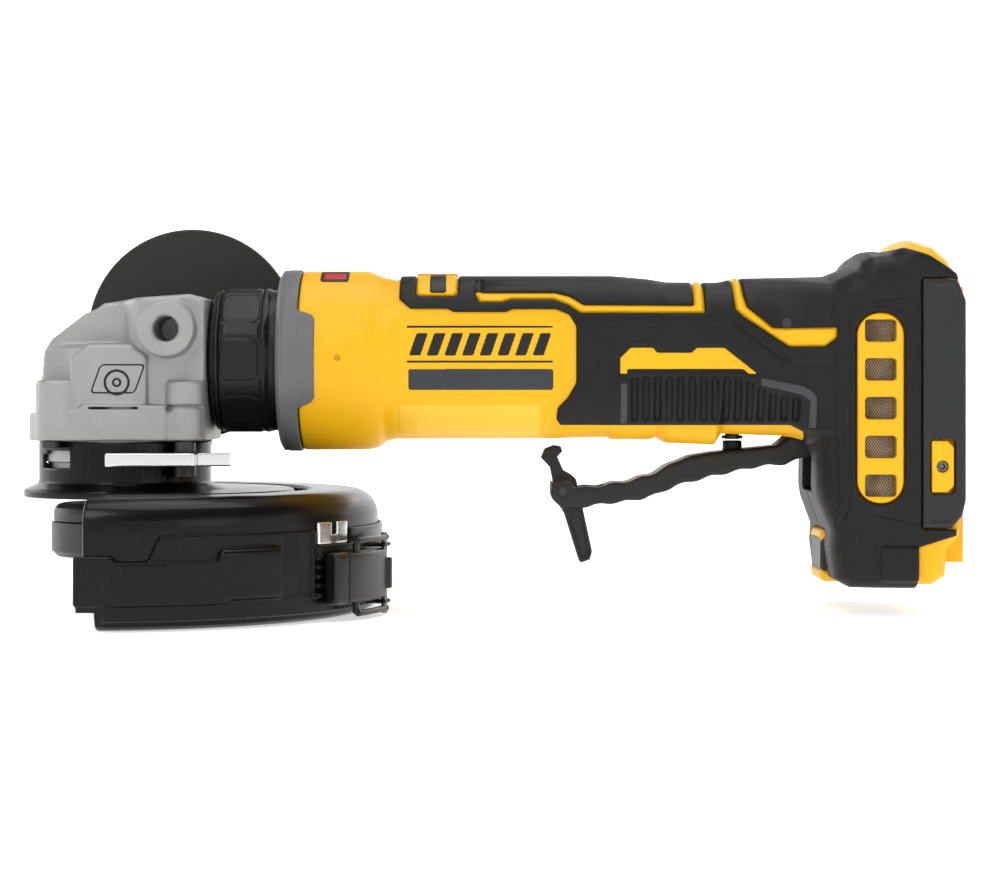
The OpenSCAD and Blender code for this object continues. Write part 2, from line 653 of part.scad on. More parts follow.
// The solid form of the housing, grown outward by g everywhere.
module housing_form(g) {
    back = barrel_x + barrel_l;
    taper_l = 2 * (barrel_r - grip_h / 2 + 1);
    x_turn(barrel_x, [[0, -min(g, 0)], [barrel_r + g, -min(g, 0)], [barrel_r + g, barrel_l - g],
        [grip_h / 2 - 1 + g, barrel_l + taper_l],
        [grip_h / 2 - 6 + g, barrel_l + taper_l + 16], [0, barrel_l + taper_l + 16]]);
    intersection() {
        translate([back + 4 - g, 0, (grip_top + grip_floor) / 2]) rotate([0, 90, 0])
            linear_extrude(height = foot_x - back - 2 + g)
            rounded(grip_h + 2 * g, grip_w + 2 * g, 17);
        side_plate(60) offset(delta = g) polygon([[back - 8, grip_floor],
            [foot_x - 46, grip_floor], [foot_x - 44, grip_floor - 2],
            [foot_x - 30, grip_floor - 2], [foot_x - 28, grip_floor + 2],
            [foot_x + 20, grip_floor + 2], [foot_x + 20, grip_top - 2.2],
            [foot_x - 36, grip_top - 2.2], [foot_x - 64, grip_top], [back - 8, grip_top]]);
    }
    intersection() {
        side_plate(foot_w / 2 + g) offset(delta = g) foot_outline();
        translate([0, 0, foot_z - 10]) linear_extrude(height = 140)
            offset(delta = g) foot_plan(foot_w / 2);
    }
}

// Everything that both housing halves leave open.
module housing_openings() {
    difference() {
        housing_form(-wall);
        bulkhead();
        block(paddle_tip_x - 22, paddle_tip_x + 8, -9, 9, grip_floor, grip_floor + 8);
        for (x = screw_x) y_bar(x, screw_z(x), 4.2, 60);
        block(dock_x - wall, tool_l, -60, 60, foot_z - 1, foot_top);
        block(foot_x - 2, hinge_x + 9, -16, 16, hinge_z - 8, hinge_z + 9);
    }
    x_bar(barrel_x - 1, wall + 3, barrel_r - wall);
    for (x = screw_x) y_bar(x, screw_z(x), 1.6 + pin_gap, 60);
    block(dock_x, tool_l + 5, -dock_half, dock_half, foot_z - 5, dock_top);
    block(paddle_tip_x - 20, paddle_tip_x + 6, -6, 6, grip_floor - 4, grip_floor + 5.6);
    for (side = [-1, 1]) translate([foot_x - 45, side * (paddle_w / 2 - 0.6) - 2, grip_floor - 5])
        cube([16, 4, 6.4]);
    block(foot_x - 30, hinge_x + 6.4, -paddle_w / 2 - 0.8, paddle_w / 2 + 0.8,
        grip_floor - 8, hinge_z + 6.4);
    z_bar(plunger_x, 0, grip_floor - 5, 4.2, 14);
    y_bar(hinge_x, hinge_z, pin_r + pin_gap, paddle_w / 2 + 4);
    for (side = [-1, 1]) vent_cut(side);
    block(foot_x - 1, foot_x + 15, -12, 12, foot_z - 5, foot_z + 14);
    battery_lead_bars(terminal_x - 9, 20, 2);
    block(window_x0, window_x1, -window_half, window_half, grip_top - 9, grip_top + 5);
}

function screw_z(x) = x > foot_x - 20 ? motor_z + 12 : x > foot_x - 60 ? motor_z - 14
    : motor_z - 17;

module bulkhead() difference() {
    x_bar(rear_bearing_x - 0.6, bulkhead_t, 40);
    x_bar(rear_bearing_x - 0.6, rear_bearing_l + 0.6, rear_bearing_r);
    x_bar(rear_bearing_x - 2, 20, shaft_r + 3);
    lead_bars(rear_bearing_x - 2, 20, lead_r + 0.4);
}

module vent_shape(grow) for (z = [-1, 1]) translate([vent_x, z * (vent_h - vent_w) / 2])
    circle(r = vent_w / 2 + grow);

module vent_slot(grow) {
    vent_shape(grow);
    translate([vent_x, 0]) square([vent_w + 2 * grow, vent_h - vent_w], center = true);
}

module vent_cut(side) translate([0, side * foot_w / 2, vent_z])
    rotate([90, 0, 0]) linear_extrude(height = 16, center = true) vent_slot(gap);

module half_space(side) translate([0, side * 100, 50]) cube([900, 200, 400], center = true);

module housing_half(side) color([0.98, 0.75, 0.12]) difference() {
    intersection() {
        housing_form(0);
        half_space(side);
    }
    housing_openings();
    panel_seat(side, gap);
}

module housing_left() housing_half(-1);

module housing_right() housing_half(1);

module overmould_region() {
    polygon([[grip_x + 11, motor_z + 17], [grip_x + 62, motor_z + 17],
        [grip_x + 70, motor_z + 11], [grip_x + 70, motor_z - 8],
        [grip_x + 64, motor_z - 22], [foot_x - 3, motor_z - 22], [foot_x + 3, motor_z - 30],
        [foot_x - 10, motor_z - 60], [foot_x - 10, foot_z + 18], [foot_x + 34, foot_z + 18],
        [foot_x + 34, motor_z + 50], [foot_x - 20, motor_z + 50], [grip_x + 11, motor_z + 50]]);
}

module overmould_half(side) color([0.16, 0.16, 0.16]) difference() {
    intersection() {
        housing_form(overmould_t);
        half_space(side);
        side_plate(60) overmould_region();
    }
    housing_form(0);
    vent_cut(side);
    panel_seat(side, gap);
    for (x = screw_x) y_bar(x, screw_z(x), 3.4, 60);
    block(paddle_tip_x - 20, hinge_x + 6.4, -paddle_w / 2 - 0.8, paddle_w / 2 + 0.8,
        grip_floor - 8, hinge_z + 6.4);
    block(foot_x - 5, foot_x + 16, -12.5, 12.5, foot_z - 5, foot_z + 14.5);
    block(window_x0, window_x1, -window_half, window_half, grip_top - 9, grip_top + 5);
    block(dock_x, tool_l + 5, -dock_half, dock_half, foot_z - 5, dock_top);
}

module overmould_left() overmould_half(-1);

module overmould_right() overmould_half(1);

module housing_screws() color("gray") for (x = screw_x) {
    half = x > foot_x - 20 ? 28 : 22;
    y_bar(x, screw_z(x), 1.6, half);
}

module control_module() color([0.55, 0.55, 0.57]) {
    block(module_x, module_x + module_l, -17, 17, motor_z - 8, motor_z + 4);
    for (y = [-15:5:15]) block(module_x + 2, module_x + module_l - 2, y - 0.8, y + 0.8,
        motor_z + 4, motor_z + 11);
    lead_pad = lead_out + 3;
    block(module_x, module_x + 6, -12.5, 12.5, motor_z + 4 - eps, motor_z + lead_pad);
}

module battery_lead_bars(x, l, r) for (y = [-6, 6]) x_bar(x, l, r, z = motor_z - 3, y = y);

module battery_leads() color([0.7, 0.1, 0.1]) battery_lead_bars(module_x + module_l + gap,
    terminal_x - module_x - module_l - 2 * gap, 1.8);

module switch_body() color([0.2, 0.2, 0.22]) difference() {
    block(plunger_x - 12, plunger_x + 12, -8, 8, plunger_z + 4.4, motor_z - 9);
    z_bar(plunger_x, 0, plunger_z, 2.4 + gap, 12);
}

module switch_plunger() color([0.1, 0.1, 0.1]) {
    z_bar(plunger_x, 0, plunger_z - 1, 2.4, 6.8);
    z_bar(plunger_x, 0, plunger_z - 0.8, 3.6, 1.1);
}

window_x0 = grip_x + 17.6;
window_x1 = grip_x + 31.4;
window_half = 8;

module status_window() color([0.98, 0.75, 0.12]) difference() {
    block(window_x0 + gap, window_x1 - gap, -window_half + gap, window_half - gap,
        grip_top - 5, grip_top + overmould_t);
    block(window_x0 + 4, window_x1 - 4, -5, 5, grip_top, grip_top + 3);
}

// ---- Foot -------------------------------------------------------------------------

module on_side(side) translate([0, side * foot_w / 2, 0]) children();

module vent_frames() color([0.98, 0.75, 0.12]) for (side = [-1, 1])
    on_side(side) translate([0, -side * 0.6, vent_z]) rotate([90, 0, 0])
        linear_extrude(height = 4, center = true) difference() {
            vent_slot(0);
            for (i = [-2:2]) translate([vent_x, i * 12.6]) rounded(10.4, 7.4, 1.4);
        }

module vent_meshes() color([0.35, 0.28, 0.15]) for (side = [-1, 1])
    on_side(side) translate([0, -side * 3.4, vent_z]) rotate([90, 0, 0])
        linear_extrude(height = 0.8, center = true) vent_slot(0);

panel_x0 = tool_l - 15.5;
panel_x1 = tool_l - 0.5;
panel_z0 = motor_z - 55;
panel_z1 = motor_z + 26;

module panel_seat(side, grow) on_side(side)
    block(panel_x0 - grow, tool_l + 4, -panel_t - grow, panel_t + grow,
        panel_z0 - grow, panel_z1 + grow);

module foot_panels() color([0.1, 0.1, 0.1]) for (side = [-1, 1]) difference() {
    on_side(side) translate([0, 0, 0]) rotate([90, 0, 0])
        linear_extrude(height = 2 * panel_t, center = true)
        polygon([[panel_x0, panel_z0], [panel_x1 - 5, panel_z0], [panel_x1 - 1, panel_z0 + 5],
            [panel_x1, panel_z0 + 9], [panel_x1, panel_z1 - 7], [panel_x1 - 2, panel_z1 - 3],
            [panel_x1 - 3.6, panel_z1], [panel_x0, panel_z1]]);
    insert_seat(side, gap, 20);
}

insert_z = motor_z - 35;
insert_x = tool_l - 9;
insert_hole_r = 1.95;

module insert_seat(side, grow, depth) on_side(side) rotate([90, 0, 0])
    translate([insert_x, insert_z]) linear_extrude(height = depth, center = true)
    rounded(7.4 + 2 * grow, 17 + 2 * grow, 1.6);

module hook_inserts() color([0.98, 0.75, 0.12]) for (side = [-1, 1]) difference() {
    insert_seat(side, 0, 2 * panel_t);
    y_bar(insert_x, insert_z, insert_hole_r, foot_w);
}

module tag_pocket() color([0.95, 0.72, 0.12]) difference() {
    block(foot_x + 2, foot_x + 15 - gap, -12 + gap, 12 - gap, foot_z - 1, foot_z + 14 - gap);
    block(foot_x - 1, foot_x + 5, -8, 8, foot_z + 3, foot_z + 11);
    block(foot_x + 8, foot_x + 12, -8, 8, foot_z - 2, foot_z + 2);
}

module rail_frame() color([0.12, 0.12, 0.12]) {
    difference() {
        block(dock_x + gap, dock_x + 2.4, -dock_half + gap, dock_half - gap, foot_z + 8,
            dock_top - gap);
        battery_lead_bars(dock_x - 1, 6, 2);
    }
    for (side = [-1, 1]) {
        inner = side * (dock_half - gap);
        lip = side * (dock_half - 5.4);
        block(dock_x + 2, tool_l - 1, min(inner, inner - side * 2),
            max(inner, inner - side * 2), foot_z + 8, dock_top - gap);
        block(tool_l - 3.6, tool_l - 1, min(inner, lip), max(inner, lip), foot_z + 8,
            dock_top - gap);
    }
}

terminal_x = dock_x + 2.4 + gap;
terminal_z = motor_z - 13;

module terminal_block() color([0.15, 0.15, 0.15]) difference() {
    block(terminal_x, tool_l - 2, -17, 17, terminal_z, motor_z + 16);
    for (y = [-12:6:12]) block(terminal_x + 4, tool_l, y - 1.4, y + 1.4, terminal_z - 1,
        motor_z + 10);
}

module terminals() color([0.85, 0.65, 0.3]) for (y = [-12:6:12])
    block(terminal_x + 4 + gap, tool_l - 3, y - 0.4, y + 0.4, terminal_z + 2,
        motor_z + 10 - gap);

// ---- Paddle -----------------------------------------------------------------------

// The paddle's upper and lower lines, in [distance from the tip pin, height above it].
upper_line = [[-4, 3], [5, 1.4], [23, 4], [29, 5.8], [37, 9.8], [43, 12.2], [51, 13.6],
    [60, 14.6], [72, 15.8], [76, 19], [86.7, 20.3]];
lower_line = [[86.7, 13.3], [80, 10.6], [70, 9.2], [60, 6.9], [49, 4.4], [38, 1.4],
    [32, -1.4], [22, -3.8], [8, -5.6], [0, -6.4], [-4, -2]];

module paddle_shape() translate([paddle_tip_x, paddle_tip_z])
    scale([paddle_l / 86.7, 1]) polygon(concat(upper_line, lower_line));

module paddle() color([0.1, 0.1, 0.1]) difference() {
    union() {
        side_plate(paddle_w / 2) paddle_shape();
        y_bar(hinge_x, hinge_z, 4.4, paddle_w / 2);
        y_bar(paddle_tip_x, paddle_tip_z, 4, paddle_w / 2);
        z_bar(plunger_x, 0, plunger_z - 6, 3.4, 4.6);
    }
    side_plate(paddle_w / 2 - 2) translate([0, 3]) intersection() {
        paddle_shape();
        translate([paddle_tip_x + 12, 0]) square([paddle_l - 46, 90]);
    }
    block(paddle_tip_x - 9, paddle_tip_x + 9.4, -lever_half - gap, lever_half + gap,
        paddle_tip_z - 12, paddle_tip_z + 12);
    block(paddle_tip_x + 9, paddle_tip_x + 20.4, -lever_half - gap, lever_half + gap,
        paddle_tip_z - 12, paddle_tip_z + 1.8);
    y_bar(hinge_x, hinge_z, pin_r + pin_gap, foot_w);
    y_bar(paddle_tip_x, paddle_tip_z, pin_r + pin_gap, foot_w);
}

lever_half = 5;

module paddle_pin() color("silver") y_bar(hinge_x, hinge_z, pin_r, paddle_w / 2 + 3.8);

module lock_lever() color([0.1, 0.1, 0.1]) difference() {
    union() {
        side_plate(lever_half) translate([paddle_tip_x, paddle_tip_z])
            polygon([[-7.6, 11.4], [-6.2, 14.6], [-3, 15.8], [-0.4, 15.4], [0.2, 13.4],
                [-1.6, 11.6], [0.4, 7], [3.2, 5.6], [4.8, 4.4], [6, -0.6], [8, -9.8],
                [10.4, -20.4], [9.6, -23.4], [6.2, -24.6], [5.4, -23.8], [0.4, -7.6],
                [-3.4, -2], [-3.4, 3], [-4.4, 8]]);
        y_bar(paddle_tip_x, paddle_tip_z, 3.6, lever_half);
    }
    y_bar(paddle_tip_x, paddle_tip_z, pin_r + pin_gap, lever_half + 2);
}

module lock_pin() color("silver") y_bar(paddle_tip_x, paddle_tip_z, pin_r, paddle_w / 2 - 0.4);

gear_case();
case_cover();
cover_screws();
spindle();
ring_gear();
pinion();
pinion_nut();
spindle_bearing();
spindle_bush();
bearing_ring();
lock_button();
button_spring();
backing_flange();
clamp_nut();
nose_adapter();
front_ring();
handle_core();
handle_disc();
handle_grip();
handle_cap();
guard_shell();
guard_cover();
catch_bracket();
catch_lever();
catch_pin();
catch_bail();
guard_lever();
lever_screw();
lever_spring();
rotor_shaft();
rotor();
stator();
windings();
fan();
front_bearing();
rear_bearing();
sensor_board();
motor_leads();
housing_left();
housing_right();
overmould_left();
overmould_right();
housing_screws();
control_module();
battery_leads();
switch_body();
switch_plunger();
status_window();
vent_frames();
vent_meshes();
foot_panels();
hook_inserts();
tag_pocket();
rail_frame();
terminal_block();
terminals();
paddle();
paddle_pin();
lock_lever();
lock_pin();
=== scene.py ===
"""Looks of a cordless angle grinder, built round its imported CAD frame.

Lengths in the piece classes are in millimetres, in the frame's axes: the spindle stands
on the origin, +X runs along the motor to the battery foot, +Z goes up and -Y is the near
side. Most pieces are made as distance fields, which give every edge its own rounding.
"""

import logging
import math
from dataclasses import dataclass
from enum import Enum
from typing import Any, Sequence

import bpy
import numpy as np
import openvdb
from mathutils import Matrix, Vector


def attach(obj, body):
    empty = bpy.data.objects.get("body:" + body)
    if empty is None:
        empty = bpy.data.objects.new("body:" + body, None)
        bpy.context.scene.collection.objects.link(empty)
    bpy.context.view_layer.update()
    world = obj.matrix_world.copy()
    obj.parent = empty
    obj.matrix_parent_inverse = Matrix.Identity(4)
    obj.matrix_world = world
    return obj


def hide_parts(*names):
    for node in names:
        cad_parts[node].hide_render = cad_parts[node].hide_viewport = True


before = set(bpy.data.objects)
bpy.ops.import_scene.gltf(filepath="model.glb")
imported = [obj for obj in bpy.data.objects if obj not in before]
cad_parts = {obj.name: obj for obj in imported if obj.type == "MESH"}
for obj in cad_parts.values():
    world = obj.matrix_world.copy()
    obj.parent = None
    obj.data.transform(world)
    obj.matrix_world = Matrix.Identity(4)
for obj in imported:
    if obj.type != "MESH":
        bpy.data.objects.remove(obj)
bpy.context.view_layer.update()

MM = 0.001
SPINDLE = (0.0, 0.0)
MOTOR_Z = 54.0
NOSE = (0.0, MOTOR_Z)
HANDLE_HOLE = (17.9, 64.0)
LOCK_BUTTON = (-12.4, 0.0)
LEVER_PIN = (23.5, -25.0)
COVER_POSTS = ((-20.8, -25), (-20.8, 25), (23.5, 23))
SIDES = (("near", False), ("far", True))
HALVES = (("left", False), ("right", True))
# Steps of a distance field that are kept on each side of a surface.
BAND = 3
# Steps to each side over which a field's slope is read.
SLOPE_REACH = 0.9
Points = Sequence[tuple[float, float]]
Field = np.ndarray
log = logging.getLogger("grinder")


# ---- Distance fields ---------------------------------------------------------------


def meet(a: Field, b: Field, blend: float = 0.0) -> Field:
    """Joins two solids.

    Args:
        a: Distance field of the first solid.
        b: Distance field of the second solid.
        blend: Width over which the inner corner is filled.

    Returns:
        The distance field of both together.
    """
    if blend <= 0:
        return np.minimum(a, b)
    reach = np.maximum(blend - np.abs(a - b), 0) / blend
    return np.minimum(a, b) - reach * reach * blend / 4


def keep(a: Field, b: Field, blend: float = 0.0) -> Field:
    """Keeps what lies in both solids, with its new edge rounded over blend."""
    return -meet(-a, -b, blend)


def cut(a: Field, b: Field, blend: float = 0.0) -> Field:
    """Takes solid b out of solid a, with the new edge rounded over blend."""
    return -meet(-a, b, blend)


def outline_distance(u: Field, v: Field, points: Points) -> Field:
    """Measures the distance to a closed outline, negative inside it.

    Args:
        u: First coordinate of each place.
        v: Second coordinate of each place.
        points: Corners of the outline in order.

    Returns:
        An array in the shape of u and v together.
    """
    shape = np.broadcast(u, v).shape
    nearest = np.full(shape, np.inf, np.float32)
    inside = np.zeros(shape, bool)
    for (au, av), (bu, bv) in zip(points, [points[-1], *points[:-1]]):
        eu, ev = bu - au, bv - av
        wu, wv = u - au, v - av
        along = np.clip((wu * eu + wv * ev) / max(eu * eu + ev * ev, 1e-9), 0, 1)
        nearest = np.minimum(nearest, (wu - eu * along) ** 2 + (wv - ev * along) ** 2)
        above, below = v >= av, v < bv
        left = eu * wv > ev * wu
        inside ^= (above & below & left) | (~above & ~below & ~left)
    return np.where(inside, -1, 1).astype(np.float32) * np.sqrt(nearest)


def rounded_box(u: Field, v: Field, half_u: float, half_v: float, radius: float) -> Field:
    """Measures the distance to a rectangle with rounded corners, centred on zero."""
    qu, qv = np.abs(u) - half_u + radius, np.abs(v) - half_v + radius
    outside = np.sqrt(np.maximum(qu, 0) ** 2 + np.maximum(qv, 0) ** 2)
    return outside + np.minimum(np.maximum(qu, qv), 0) - radius


def step_up(distance: Field, width: float = 0.5) -> Field:
    """Gives 1 inside an outline and 0 outside, with a smooth slope of that width."""
    t = np.clip(0.5 - distance / width, 0, 1)
    return t * t * (3 - 2 * t)


def on_circle(radius: float, degrees: float) -> tuple[float, float]:
    """The point at that radius and angle round the spindle."""
    turn = math.radians(degrees)
    return radius * math.cos(turn), radius * math.sin(turn)


class Space:
    """A block of space sampled at even steps, over which distance fields are made."""

    def __init__(self, low: Sequence[float], high: Sequence[float], step: float) -> None:
        """Lays the samples out, with a margin round the block.

        Args:
            low: Lowest corner.
            high: Highest corner.
            step: Distance between samples.
        """
        self.step = step
        self.low = np.array(low, float) - BAND * step
        counts = np.ceil((np.array(high) + BAND * step - self.low) / step).astype(int) + 1
        x, y, z = (a + step * np.arange(n) for a, n in zip(self.low, counts))
        self.x = x.astype(np.float32)[:, None, None]
        self.y = y.astype(np.float32)[None, :, None]
        self.z = z.astype(np.float32)[None, None, :]

    def side(self, points: Points) -> Field:
        """A solid with that outline in X and Z, endless along Y."""
        return outline_distance(self.x, self.z, points)

    def plan(self, points: Points) -> Field:
        """A solid with that outline in X and Y, endless along Z."""
        return outline_distance(self.x, self.y, points)

    def slab(self, axis: str, low: float, high: float) -> Field:
        """A slab between two planes square to that axis."""
        at = getattr(self, axis)
        return np.abs(at - (low + high) / 2) - (high - low) / 2

    def block(self, low: Sequence[float], high: Sequence[float], radius: float = 0.0) -> Field:
        """A block with rounded edges.

        Args:
            low: Lowest corner.
            high: Highest corner.
            radius: Edge radius.

        Returns:
            Its distance field.
        """
        q = [np.abs(at - (a + b) / 2) - (b - a) / 2 + radius
             for at, a, b in zip((self.x, self.y, self.z), low, high)]
        outside = np.sqrt(sum(np.maximum(d, 0) ** 2 for d in q))
        inside = np.minimum(np.maximum(np.maximum(q[0], q[1]), q[2]), 0)
        return outside + inside - radius

    def reach(self, axis: str, centre: tuple[float, float]) -> Field:
        """Distance of each place from a line along that axis."""
        first, second = [getattr(self, name) for name in "xyz" if name != axis]
        return np.sqrt((first - centre[0]) ** 2 + (second - centre[1]) ** 2)

    def bar(self, axis: str, centre: tuple[float, float], radius: float, low: float,
            high: float, edge: float = 0.0) -> Field:
        """A round bar.

        Args:
            axis: Axis that it lies along, "x", "y" or "z".
            centre: Its place on the two other axes, in their order.
            radius: Its radius.
            low: Where it starts along its axis.
            high: Where it ends.
            edge: Rounding of its two end edges.

        Returns:
            Its distance field.
        """
        return keep(self.reach(axis, centre) - radius, self.slab(axis, low, high), edge)

    def turned(self, axis: str, centre: tuple[float, float], points: Points) -> Field:
        """A solid of revolution.

        Args:
            axis: Axis that it turns about.
            centre: Place of the axis on the two others.
            points: Outline as (distance along the axis, radius).

        Returns:
            Its distance field.
        """
        along = getattr(self, axis)
        reach = self.reach(axis, centre)
        steps = np.arange(0, float(reach.max()) + self.step, self.step / 2)
        table = outline_distance(along.ravel()[:, None], steps[None, :], points)
        place = reach / (self.step / 2)
        lower = np.minimum(place.astype(int), len(steps) - 2)
        part = (place - lower).astype(np.float32)
        row = np.arange(along.size).reshape(along.shape)
        return table[row, lower] * (1 - part) + table[row, lower + 1] * part

    def around(self) -> tuple[Field, Field]:
        """Radius from the spindle and angle in degrees, counted from +X towards +Y."""
        return np.sqrt(self.x**2 + self.y**2), np.degrees(np.arctan2(self.y, self.x))


class Shape:
    """A finished surface: its points in millimetres, its faces and its normals."""

    def __init__(self, space: Space, field: Field) -> None:
        """Takes the surface out of a distance field.

        Args:
            space: The space that the field lies in.
            field: The distances.
        """
        shape = np.broadcast_shapes(field.shape, (space.x.size, space.y.size, space.z.size))
        self.space = space
        limit = BAND * space.step
        self.field = np.clip(np.broadcast_to(field, shape), -limit, limit).astype(np.float32)
        grid = openvdb.FloatGrid(limit)
        grid.copyFromArray(np.ascontiguousarray(self.field))
        points, _, quads = grid.convertToPolygons(isovalue=0.0, adaptivity=0.0)
        self.points = points * space.step + space.low
        self.quads = quads

    def normals(self, points: np.ndarray) -> np.ndarray:
        """Reads the field's slope at some points.

        Args:
            points: Places in millimetres.

        Returns:
            One unit vector for each place.
        """
        place = (points - self.space.low) / self.space.step
        found = np.empty_like(place)
        for axis in range(3):
            shift = np.zeros(3)
            shift[axis] = SLOPE_REACH
            found[:, axis] = self._read(place + shift) - self._read(place - shift)
        return found / np.maximum(np.linalg.norm(found, axis=1), 1e-9)[:, None]

    def _read(self, place: np.ndarray) -> np.ndarray:
        """Reads the field between samples.

        Args:
            place: Places counted in steps.

        Returns:
            The field's value at each place.
        """
        top = np.array(self.field.shape) - 2
        base = np.clip(place.astype(int), 0, top)
        part = np.clip(place - base, 0, 1)
        total = np.zeros(len(place))
        for corner in range(8):
            bits = np.array([corner >> 2 & 1, corner >> 1 & 1, corner & 1])
            weight = np.prod(np.where(bits, part, 1 - part), axis=1)
            i, j, k = (base + bits).T
            total += weight * self.field[i, j, k]
        return total


def make_piece(name: str, shape: Shape, keep_share: float = 0.4,
               mirrored: bool = False) -> bpy.types.Object:
    """Builds one object from a surface, in metres.

    Args:
        name: The piece's name.
        shape: Its surface.
        keep_share: Share of the faces to keep where they say nothing new.
        mirrored: True to build its twin on the other side of the tool.

    Returns:
        The object, with the surface's own normals.
    """
    mesh = bpy.data.meshes.new(name)
    mesh.from_pydata(shape.points.tolist(), [], shape.quads.tolist())
    piece = bpy.data.objects.new(name, mesh)
    bpy.context.scene.collection.objects.link(piece)
    if keep_share < 1:
        thin = piece.modifiers.new("thin", "DECIMATE")
        thin.ratio = keep_share
        graph = bpy.context.evaluated_depsgraph_get()
        mesh = bpy.data.meshes.new_from_object(piece.evaluated_get(graph))
        piece.modifiers.clear()
        piece.data = mesh
    points = np.empty(len(mesh.vertices) * 3)
    mesh.vertices.foreach_get("co", points)
    points = points.reshape(-1, 3)
    normals = shape.normals(points)
    if mirrored:
        points[:, 1] *= -1
        normals[:, 1] *= -1
        mesh.flip_normals()
    mesh.vertices.foreach_set("co", (points * MM).ravel())
    mesh.polygons.foreach_set("use_smooth", np.ones(len(mesh.polygons), bool))
    mesh.update()
    mesh.normals_split_custom_set_from_vertices(normals.tolist())
    log.info("%s: %d faces", name, len(mesh.polygons))
    return piece


# ---- Shader parts ------------------------------------------------------------------


class Signal:
    """A number on its way through a shader, written with ordinary arithmetic."""

    def __init__(self, tree: bpy.types.NodeTree, socket: bpy.types.NodeSocket) -> None:
        """Wraps a socket of a node tree."""
        self.tree = tree
        self.socket = socket

    def _join(self, operation: str, first: Any, second: Any) -> "Signal":
        """Adds a Math node.

        Args:
            operation: The node's operation.
            first: A signal or a number.
            second: A signal or a number.

        Returns:
            The node's result.
        """
        node = self.tree.nodes.new("ShaderNodeMath")
        node.operation = operation
        for socket, value in zip(node.inputs, (first, second)):
            if isinstance(value, Signal):
                self.tree.links.new(value.socket, socket)
            else:
                socket.default_value = value
        return Signal(self.tree, node.outputs[0])

    def __add__(self, other: Any) -> "Signal":
        """Sum."""
        return self._join("ADD", self, other)

    def __sub__(self, other: Any) -> "Signal":
        """Difference."""
        return self._join("SUBTRACT", self, other)

    def __rsub__(self, other: Any) -> "Signal":
        """Difference, with the signal second."""
        return self._join("SUBTRACT", other, self)

    def __mul__(self, other: Any) -> "Signal":
        """Product."""
        return self._join("MULTIPLY", self, other)

    def __pow__(self, other: Any) -> "Signal":
        """Power."""
        return self._join("POWER", self, other)

    def sine(self) -> "Signal":
        """Sine of the signal, in radians."""
        return self._join("SINE", self, 0.0)

    def larger(self, other: "Signal") -> "Signal":
        """The larger of two signals."""
        return self._join("MAXIMUM", self, other)

    def __gt__(self, other: Any) -> "Signal":
        """1 where the signal is larger, otherwise 0."""
        return self._join("GREATER_THAN", self, other)

    __radd__ = __add__
    __rmul__ = __mul__


Colour = tuple[float, float, float]


